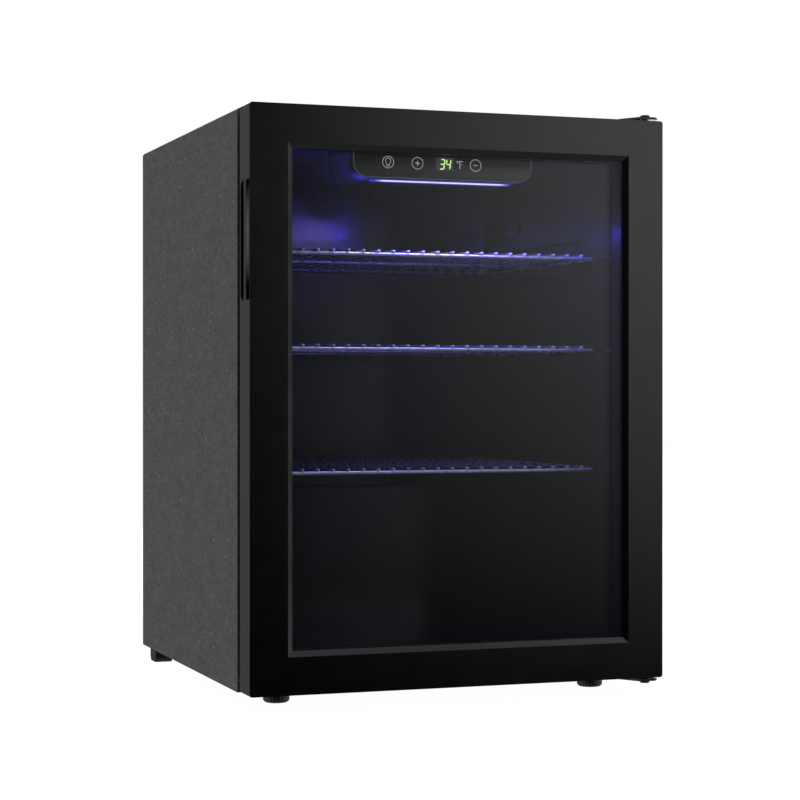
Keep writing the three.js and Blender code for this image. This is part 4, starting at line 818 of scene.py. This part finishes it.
def levelling_foot(node, body):
    low, high = box_of(node)
    x, y = (low.x + high.x) / 2, (low.y + high.y) / 2

    def fluted(radius, z, turn):
        if 1.6 < z < 8.2 and radius > 12:
            return radius - FLUTE_DEPTH * (0.5 - 0.5 * math.cos(turn * FLUTES))
        return radius

    shape = Shape()
    pad = [
        (0.01, 0.0), (10.5, 0.0), (11.8, 0.3), (13.4, 1.4), (14.2, 2.2), (14.5, 3.2), (14.5, 5.5),
        (14.5, 7.6), (14.1, 8.5), (13.4, 8.9), (9.6, 9.0), (9.0, 9.3), (9.0, 12.4),
        (8.4, STEM_BOTTOM), (THREAD_CREST, STEM_BOTTOM),
    ]
    shape.lathe(pad, x, y, 144, flutes=fluted)
    steps = math.ceil((high.z - 1.0 - STEM_BOTTOM) / THREAD_STEP)
    stem = [(0.01, STEM_BOTTOM - 0.1)]
    for k in range(steps):
        stem.append((THREAD_ROOT if k % 2 else THREAD_CREST, STEM_BOTTOM + k * THREAD_STEP))
    stem += [(2.8, high.z - 0.2), (0.01, high.z - 0.1)]
    shape.lathe(stem, x, y, 32, slot=1)
    shape.build(
        f"{node}_detail",
        body,
        FINISHES["black_plastic"],
        FINISHES["zinc_steel"],
        smooth=32,
        replaces=[node],
        slot="black_plastic",
    )


for side in ("left", "right"):
    levelling_foot(f"front_{side}_foot", f"{side}_foot")


# Cross-recessed pan-head screws.

HEAD_RADIUS = 4.0
HEAD_HEIGHT = 1.9
SHANK_RADIUS = 2.0


def screw_head(shape, at, radius, height, axis="Z", way=1.0):
    """A domed head with a cross recess, its base at the point and its top along the axis."""
    steps = 14
    turns = full_turn(64)
    arm = radius * 0.13
    reach = radius * 0.62
    skirt = [on_axis(at, axis, radius * math.cos(t), radius * math.sin(t), 0.0) for t in turns]
    rings = [skirt]
    for step in range(steps + 1):
        r = radius * max(1.0 - step / steps, 0.001)
        ring = []
        for turn in turns:
            u, v = r * math.cos(turn), r * math.sin(turn)
            dome = height * (0.55 + 0.45 * math.sqrt(max(0.0, 1.0 - (r / radius) ** 2)))
            across = min(abs(u), abs(v))
            along = max(abs(u), abs(v))
            if across < arm and along < reach:
                dome -= height * 0.5 * min(1.0, (reach - along) / (reach * 0.3) + 0.25)
            ring.append(on_axis(at, axis, u, v, way * dome))
        rings.append(ring)
    return shape.rings(rings)


def hinge_screw(node, down=False):
    """A screw whose head is at its top, or at its bottom where it points up from below."""
    low, high = box_of(node)
    x, y = (low.x + high.x) / 2, (low.y + high.y) / 2
    head, tip, way = (low.z, high.z, -1.0) if down else (high.z, low.z, 1.0)
    shank = head - way * (HEAD_HEIGHT - 0.1)
    shape = Shape()
    screw_head(shape, (x, y, head - way * HEAD_HEIGHT), HEAD_RADIUS, HEAD_HEIGHT - 0.05, way=way)
    profile = [(0.01, tip), (SHANK_RADIUS, tip + way), (SHANK_RADIUS, shank), (0.01, shank)]
    shape.lathe(profile, x, y, 24)
    shape.build(f"{node}_head", "cabinet", SCREW, smooth=28, replaces=[node], slot="black_steel")


for number in (1, 2, 3):
    hinge_screw(f"top_hinge_screw_{number}")
for number in (1, 2):
    hinge_screw(f"bottom_hinge_screw_{number}", down=True)


# Control panel: icons, display digits and a painted highlight along the rim of its housing.


ICON_RING = (6.8, 6.05)
ICON_REACH = 2.6


def key_icon(node, body, mark):
    """A ring round a mark, which is a list of (path, width, closed)."""
    low, high = box_of(node)
    middle = ((low.x + high.x) / 2, low.y, (low.z + high.z) / 2)
    shape = Shape()
    ring_band(shape, middle, *ICON_RING, 64)
    for path, width, closed in mark:
        stroke(shape, path, width, middle, closed=closed)
    shape.build(f"{node}_icon", body, PRINT, smooth=30, slot="gloss_black")


def bulb_outline():
    """A bulb's round glass, open below, and its neck."""
    radius, rise = 3.1, 1.3
    glass = []
    for k in range(19):
        turn = math.radians(-52 + 284 * k / 18)
        glass.append((radius * math.cos(turn), rise + radius * math.sin(turn)))
    return [*glass, (-1.5, -2.6), (-1.5, -4.2), (1.5, -4.2), (1.5, -2.6)]


BULB = [(bulb_outline(), 0.7, True), ([(-1.4, -3.3), (1.4, -3.3)], 0.5, False)]
PLUS = [
    ([(-ICON_REACH, 0), (ICON_REACH, 0)], 1.1, False),
    ([(0, -ICON_REACH), (0, -0.6)], 1.1, False),
    ([(0, 0.6), (0, ICON_REACH)], 1.1, False),
]
MINUS = [([(-ICON_REACH, 0), (ICON_REACH, 0)], 1.0, False)]
for key, mark in (("light", BULB), ("plus", PLUS), ("minus", MINUS)):
    key_icon(f"{key}_key", f"{key}_button", mark)


# The ends of a seven-segment digit's bars, in widths across and half heights up.
SEGMENTS = {
    "a": ((0, 2), (1, 2)),
    "b": ((1, 2), (1, 1)),
    "c": ((1, 1), (1, 0)),
    "d": ((0, 0), (1, 0)),
    "e": ((0, 0), (0, 1)),
    "f": ((0, 1), (0, 2)),
    "g": ((0, 1), (1, 1)),
}
NUMERALS = {"3": "abcdg", "4": "bcfg"}
DIGIT_WIDTH = 4.7
DIGIT_HEIGHT = 10.6
DIGIT_LINE = 1.2
DIGIT_LEAN = 0.14


def numeral(shape, digit, at):
    """A leaning digit whose lower left corner is at the point."""
    for name in NUMERALS[digit]:
        (u0, v0), (u1, v1) = SEGMENTS[name]
        a = Vector((u0 * DIGIT_WIDTH, v0 * DIGIT_HEIGHT / 2))
        b = Vector((u1 * DIGIT_WIDTH, v1 * DIGIT_HEIGHT / 2))
        along = (b - a).normalized()
        gap = along * DIGIT_LINE * 0.62
        a, b = a + gap, b - gap
        side = Vector((-along.y, along.x)) * DIGIT_LINE / 2
        tip = along * DIGIT_LINE / 2
        outline = [a - tip, a - side, b - side, b + tip, b + side, a + side]
        shape.slab([(p.x + p.y * DIGIT_LEAN, p.y) for p in outline], *INK, "Y", at)


def display():
    """The digits in the window, and the degree mark beside it on the fascia."""
    low, high = box_of("display_module")
    shape = Shape()
    middle = (low.z + high.z) / 2
    for digit, x in (("3", low.x + 4.6), ("4", low.x + 11.7)):
        numeral(shape, digit, (x, low.y, middle - DIGIT_HEIGHT / 2))
    shape.build("display_digits", "cabinet", DIGITS, smooth=30, slot="display")
    unit = Shape()
    fascia = box_of("control_fascia")[0].y
    ring_band(unit, (high.x + 3.9, fascia, middle + 3.0), 1.25, 0.65, 24)
    for path in (
        [(0, -3.8), (0, 3.9)],
        [(-0.8, 3.6), (3.9, 3.6)],
        [(0, 0.2), (2.9, 0.2)],
        [(-0.8, -3.8), (1.0, -3.8)],
    ):
        stroke(unit, path, 0.85, (high.x + 6.5, fascia, middle))
    unit.build("degree_mark", "cabinet", PRINT, smooth=30, slot="gloss_black")


display()


def paint_panel_rim_highlight():
    """A painted highlight: a thin glowing line for the light caught on the housing's rim, along the
    panel's lower edge and round its two corners.
    """
    low, high = box_of("control_housing")
    half = high.x - 0.55
    bottom, top = low.z + 0.6, high.z - 0.3
    corners = [(-half, 0, top), (-half, 0, bottom), (half, 0, bottom), (half, 0, top)]
    path = [(p.x, p.z) for p in rounded(corners, 16.4, 10)]
    shape = Shape()
    stroke(shape, path, 0.6, (0, low.y, 0), ink=(-0.1, 0.05))
    shape.build("panel_rim_highlight", "cabinet", RIM_HIGHLIGHT_PAINT, smooth=30, slot="black_plastic")


paint_panel_rim_highlight()


# Back of the cabinet.


BEAD_DEPTH = 1.1
FRAME_BEAD = 32
FRAME_BEAD_HALF = 5.0
UPRIGHT_BEAD_PITCH = 68
UPRIGHT_BEAD_HALF = 7.0
UPRIGHT_BEAD_END = 50
SHEET_STEPS = 150
RIM_SCREW = (4.2, 1.25)
RIM_SCREW_INSET = 17


def back_sheet():
    """The back sheet: a pressed bead that follows its edge, and five upright ones inside that."""
    low, high = box_of("back_panel")
    width, height = high.x - low.x, high.z - low.z

    def pressed(x, z):
        """How far the sheet is pressed out, from 0 to 1."""
        edge = min(x - low.x, high.x - x, z - low.z, high.z - z)
        best = 1.0 - abs(edge - FRAME_BEAD) / FRAME_BEAD_HALF
        if edge > UPRIGHT_BEAD_END:
            for k in range(-2, 3):
                best = max(best, 1.0 - abs(x - k * UPRIGHT_BEAD_PITCH) / UPRIGHT_BEAD_HALF)
        return 0.5 - 0.5 * math.cos(math.pi * max(0.0, min(1.0, best)))

    shape = Shape()
    grid = []
    for j in range(SHEET_STEPS + 1):
        z = low.z + height * j / SHEET_STEPS
        for i in range(SHEET_STEPS + 1):
            x = low.x + width * i / SHEET_STEPS
            grid.append((x, high.y + BEAD_DEPTH * pressed(x, z), z))
    row = SHEET_STEPS + 1
    faces = []
    for j in range(SHEET_STEPS):
        for i in range(SHEET_STEPS):
            a = j * row + i
            faces.append([a, a + 1, a + row + 1, a + row])
    rim = list(range(row))
    rim += [j * row + SHEET_STEPS for j in range(1, row)]
    rim += [SHEET_STEPS * row + i for i in range(SHEET_STEPS - 1, -1, -1)]
    rim += [j * row for j in range(SHEET_STEPS - 1, 0, -1)]
    base = len(grid)
    grid += [(grid[i][0], low.y, grid[i][2]) for i in rim]
    for k in range(len(rim)):
        m = (k + 1) % len(rim)
        faces.append([rim[k], rim[m], base + m, base + k])
    faces.append([base + k for k in range(len(rim))])
    shape.add(grid, faces)
    shape.build(
        "back_sheet",
        "cabinet",
        FINISHES["black_steel"],
        smooth=40,
        replaces=["back_panel"],
        slot="black_steel",
    )


back_sheet()


def back_screws():
    """Eight screws round the back sheet's rim."""
    low, high = box_of("back_panel")
    left, right = low.x + RIM_SCREW_INSET, high.x - RIM_SCREW_INSET
    bottom, top = low.z + 14, high.z - RIM_SCREW_INSET
    shape = Shape()
    for x in (left, 0.0, right):
        for z in (bottom, top):
            screw_head(shape, (x, high.y, z), *RIM_SCREW, axis="Y")
    for x in (left, right):
        screw_head(shape, (x, high.y, (low.z + high.z) / 2), *RIM_SCREW, axis="Y")
    shape.build("back_screws", "cabinet", SCREW, smooth=28, slot="black_steel")


back_screws()


# Compressor, its pipes and the drier. The pipes run in one plane behind the compressor's middle,
# and turn forward to the evaporator at their upper ends.

SHELL_LOW, SHELL_HIGH = box_of("compressor")
SHELL_RADIUS = (SHELL_HIGH.y - SHELL_LOW.y) / 2
SHELL_X = (SHELL_LOW.x + SHELL_HIGH.x) / 2
SHELL_Y = SHELL_LOW.y + SHELL_RADIUS
DOME_UNDER = 28
DOME_OVER = 38
PLATE_HALF_WIDTH = 48
PLATE_CORNER = 12
FOOT_BAR_X = 66
STUB_RADIUS = 4.0
STUB_END = 66.7
PIPE_Y = SHELL_Y + SHELL_RADIUS / 2
PIPE_Z = SHELL_HIGH.z - 25


def compressor():
    """A welded shell with a seam band, on a plate with two foot bars, and three pipe stubs."""
    x, y, r = SHELL_X, SHELL_Y, SHELL_RADIUS
    bottom, top = SHELL_LOW.z + 2, SHELL_HIGH.z
    seam = bottom + (top - bottom) * 0.55
    profile = [(0.01, SHELL_LOW.z)]
    for turn in quarter_turn(12)[1:]:
        rise = DOME_UNDER * (1 - math.cos(turn))
        profile.append((r * math.sin(turn) ** 0.8, SHELL_LOW.z + rise))
    profile += [(r - 0.4, seam - 6), (r - 0.2, seam - 3.2), (r, seam - 2.6), (r, seam + 2.6)]
    profile += [(r - 1.6, seam + 3.0), (r - 2.0, seam + 6)]
    for turn in quarter_turn(14):
        dome = max(0.01, (r - 2.0) * math.cos(turn) ** 0.7)
        profile.append((dome, top - DOME_OVER * (1 - math.sin(turn))))
    shape = Shape()
    shape.lathe(profile, x, y, 96)
    half = (SHELL_HIGH.x - SHELL_LOW.x) / 2
    front, back = y - PLATE_HALF_WIDTH, y + PLATE_HALF_WIDTH
    plate = rectangle(x - half, x + half, front, back, PLATE_CORNER, 8)
    shape.slab(plate, bottom, bottom + 2.5)
    for side in (-1, 1):
        bar_x = x + side * FOOT_BAR_X
        shape.slab(rectangle(bar_x - 3, bar_x + 3, y - 30, y + 30, 2.9, 5), bottom + 2, bottom + 5)
        # The stub, and a second length of the same width over its outer end.
        for start in (40, 62):
            run = [(x + side * along, PIPE_Y, PIPE_Z) for along in (start, STUB_END)]
            shape.tube(run, STUB_RADIUS, 24, slot=1)
    shape.tube([(x - 30, end, 100) for end in (222, 230.5, 233)], 3.0, 20, slot=1)
    shape.build(
        "compressor_body",
        "cabinet",
        FINISHES["black_steel"],
        FINISHES["copper"],
        smooth=34,
        replaces=["compressor"],
        slot="black_steel",
    )


compressor()


DRIER_LOW, DRIER_HIGH = box_of("filter_drier")
DRIER_X = (DRIER_LOW.x + DRIER_HIGH.x) / 2
DRIER_Y = (DRIER_LOW.y + DRIER_HIGH.y) / 2
EVAPORATOR_Y = box_of("suction_line")[0].y
# Where the middle lines of the CAD pipes run.
SUCTION_X = 165
SUCTION_Z = 247
CONDENSER_X = -236.3
CAPILLARY_X = 182
CAPILLARY_BOTTOM = 34
CAPILLARY_TOP = 271


def pipe_piece(name, node, radius, bend, corners):
    shape = Shape().tube(rounded(corners, bend, 10), radius, 20)
    shape.build(name, "cabinet", FINISHES["copper"], smooth=50, replaces=[node], slot="copper")


pipe_piece(
    "suction_pipe",
    "suction_line",
    3.2,
    14,
    [
        (SUCTION_X, EVAPORATOR_Y, SUCTION_Z),
        (SUCTION_X, PIPE_Y, SUCTION_Z),
        (SUCTION_X, PIPE_Y, PIPE_Z),
        (SHELL_X + SHELL_RADIUS + 12, PIPE_Y, PIPE_Z),
    ],
)
pipe_piece(
    "discharge_pipe",
    "discharge_line",
    2.4,
    14,
    [
        (SHELL_X - SHELL_RADIUS - 12, PIPE_Y, PIPE_Z),
        (CONDENSER_X, PIPE_Y, PIPE_Z),
        (CONDENSER_X, PIPE_Y, box_of("discharge_line")[1].z),
    ],
)
pipe_piece(
    "capillary_pipe",
    "capillary_tube",
    1.0,
    8,
    [
        (DRIER_X, PIPE_Y, DRIER_LOW.z - 0.3),
        (DRIER_X, PIPE_Y, CAPILLARY_BOTTOM),
        (CAPILLARY_X, PIPE_Y, CAPILLARY_BOTTOM),
        (CAPILLARY_X, PIPE_Y, CAPILLARY_TOP),
        (CAPILLARY_X, EVAPORATOR_Y, CAPILLARY_TOP),
    ],
)


def drier():
    """A spun copper can: narrow ends, domed shoulders and a groove rolled in near each end."""
    bottom, top = DRIER_LOW.z, DRIER_HIGH.z
    can, groove = 8.0, 7.5
    profile = [(0.01, bottom), (1.6, bottom), (2.0, bottom + 5)]
    for turn in quarter_turn(8):
        profile.append((2.0 + 6.0 * math.sin(turn), bottom + 7 + 8 * (1 - math.cos(turn))))
    rolled = [(can, 18), (groove, 19), (groove, 20.4), (can, 21.4)]
    profile += [(r, bottom + rise) for r, rise in rolled]
    profile += [(r, top - rise) for r, rise in rolled[::-1]]
    for turn in quarter_turn(8):
        profile.append((2.4 + 5.6 * math.cos(turn), top - 15 + 8 * math.sin(turn)))
    profile += [(2.4, top), (0.01, top)]
    shape = Shape().lathe(profile, DRIER_X, DRIER_Y, 40)
    shape.build(
        "drier_body",
        "cabinet",
        FINISHES["copper"],
        smooth=40,
        replaces=["filter_drier"],
        slot="copper",
    )


drier()


# Studio: pale floor, soft surroundings, the lit inside and the camera.


FLOOR_HALF = 8


def studio_floor():
    """A pale floor, unseen in reflections and bounced light."""
    mesh = bpy.data.meshes.new("floor")
    corners = [(x * FLOOR_HALF, y * FLOOR_HALF, 0) for x, y in ((-1, -1), (1, -1), (1, 1), (-1, 1))]
    mesh.from_pydata(corners, [], [(0, 1, 2, 3)])
    floor = bpy.data.objects.new("floor", mesh)
    bpy.context.scene.collection.objects.link(floor)
    material = new_material("pale_floor", (0.12, 0.12, 0.12), 0.9, Specular_IOR_Level=0.0)
    shader_of(material).inputs["Emission Color"].default_value = (1, 1, 1, 1)
    shader_of(material).inputs["Emission Strength"].default_value = 0.98
    mesh.materials.append(material)
    floor.visible_glossy = False
    floor.visible_diffuse = False


studio_floor()


def surroundings():
    """White to the camera; for light and reflections, brightest in front on the right and overhead."""
    scene = bpy.context.scene
    world = bpy.data.worlds.new("studio")
    scene.world = world
    world.use_nodes = True
    tree = world.node_tree
    tree.nodes.clear()

    def add(kind, **settings):
        node = tree.nodes.new(kind)
        for key, value in settings.items():
            setattr(node, key, value)
        return node

    def step(source, low, high, to_low=0.0, to_high=1.0, kind="LINEAR"):
        node = add("ShaderNodeMapRange", interpolation_type=kind)
        tree.links.new(source, node.inputs["Value"])
        ends = {"From Min": low, "From Max": high, "To Min": to_low, "To Max": to_high}
        for key, value in ends.items():
            node.inputs[key].default_value = value
        return node.outputs["Result"]

    def join(operation, a, b):
        node = add("ShaderNodeMath", operation=operation)
        tree.links.new(a, node.inputs[0])
        tree.links.new(b, node.inputs[1])
        return node.outputs[0]

    way = add("ShaderNodeTexCoord")
    axes = add("ShaderNodeSeparateXYZ")
    tree.links.new(way.outputs["Generated"], axes.inputs[0])
    x, y, z = axes.outputs
    right = join("MULTIPLY", step(x, 0.265, 0.435, 0.04, 1.0), step(z, -0.14, 0.09, 0.02, 1.33))
    front = join("MULTIPLY", right, step(y, 0.1, -0.55))
    rear = join("MULTIPLY", step(y, 0.3, 0.6, 0.0, 0.2), step(z, -0.6, 0.2, 0.7, 1.0))
    left = join("MULTIPLY", step(x, -0.45, -0.8, 0.0, 0.8, "SMOOTHSTEP"), step(y, -0.5, -0.15))
    above = step(z, 0.72, 0.98, 0.0, 1.0, "SMOOTHSTEP")
    below = step(z, -0.35, -0.7, 0.0, 0.3, "SMOOTHSTEP")
    strength = join("MAXIMUM", join("MAXIMUM", front, rear), join("MAXIMUM", left, above))
    aside = step(x, 0.6, 0.95, 0.0, 0.9, "SMOOTHSTEP")
    strength = join("MAXIMUM", strength, join("MAXIMUM", below, aside))
    soft = add("ShaderNodeBackground")
    tree.links.new(strength, soft.inputs["Strength"])
    soft.inputs["Color"].default_value = (1.0, 0.985, 0.988, 1.0)
    white = add("ShaderNodeBackground")
    rays = add("ShaderNodeLightPath")
    mixed = add("ShaderNodeMixShader")
    out = add("ShaderNodeOutputWorld")
    white.inputs["Color"].default_value = (1, 1, 1, 1)
    tree.links.new(rays.outputs["Is Camera Ray"], mixed.inputs[0])
    tree.links.new(soft.outputs[0], mixed.inputs[1])
    tree.links.new(white.outputs[0], mixed.inputs[2])
    tree.links.new(mixed.outputs[0], out.inputs["Surface"])


surroundings()


def area_light(name, at, aim, size, energy, color=(1, 1, 1), size_y=None):
    data = bpy.data.lights.new(name, "AREA")
    data.energy = energy
    data.color = color
    data.size = size
    if size_y:
        data.shape = "RECTANGLE"
        data.size_y = size_y
    made = bpy.data.objects.new(name, data)
    made.location = at
    made.rotation_euler = (Vector(aim) - Vector(at)).to_track_quat("-Z", "Y").to_euler()
    bpy.context.scene.collection.objects.link(made)


VIOLET = (0.2, 0.14, 1.0)
PALE_VIOLET = (0.6, 0.6, 1.0)
BLUE = (0.06, 0.05, 1.0)


def inside_lights():
    """The strip's light and glowing ends, and its sheen on the shelves, the ceiling and a wall."""
    low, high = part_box("led_diffuser")
    y, z = (low.y + high.y) / 2, low.z

    def lit(name, at, aim, size, energy, color, size_y=None):
        """A light whose place and aim are measured from the strip's underside."""
        strip = Vector((0, y, z))
        area_light(name, strip + Vector(at), strip + Vector(aim), size, energy, color, size_y)

    lit("led_strip", (0, 0, -0.0009), (0, 0.0635, -0.4694), 0.16, 0.7, VIOLET, 0.01)
    lit("led_left_end", (-0.094, 0.0005, -0.0074), (-0.1, 0.0235, 0.0106), 0.01, 0.1, BLUE)
    lit("led_right_end", (0.094, 0.0005, -0.0074), (0.1, 0.0235, 0.0106), 0.008, 0.05, BLUE)
    lit("shelf_sheen", (0, -0.0125, -0.0144), (0, 0.0075, -0.2694), 0.2, 0.11, PALE_VIOLET, 0.01)
    lit("ceiling_left", (-0.14, -0.0015, 0.0006), (-0.17, 0.0835, 0.0366), 0.02, 0.26, BLUE)
    lit("wall_right", (0.165, -0.0015, -0.0494), (0.2, 0.0015, -0.0824), 0.012, 0.02, BLUE)


inside_lights()
area_light("back_fill", (0.9, 2.4, 0.9), (0.0, 0.25, 0.25), 1.4, 45.0)

CAMERA_AT = (-0.8279, -2.3707, 0.3363)
# Turned from level and from straight ahead, in radians.
CAMERA_PITCH = -0.0030
CAMERA_YAW = -0.3425
LENS = 94.3


def view():
    scene = bpy.context.scene
    data = bpy.data.cameras.new("camera")
    data.sensor_width = 36.0
    data.lens = LENS
    camera = bpy.data.objects.new("camera", data)
    camera.location = CAMERA_AT
    camera.rotation_euler = (math.pi / 2 + CAMERA_PITCH, 0.0, CAMERA_YAW)
    scene.collection.objects.link(camera)
    scene.camera = camera
    scene.view_settings.view_transform = "Standard"
    scene.view_settings.look = "None"
    scene.cycles.use_denoising = True
    scene.cycles.max_bounces = 10
    scene.cycles.transparent_max_bounces = 12


view()
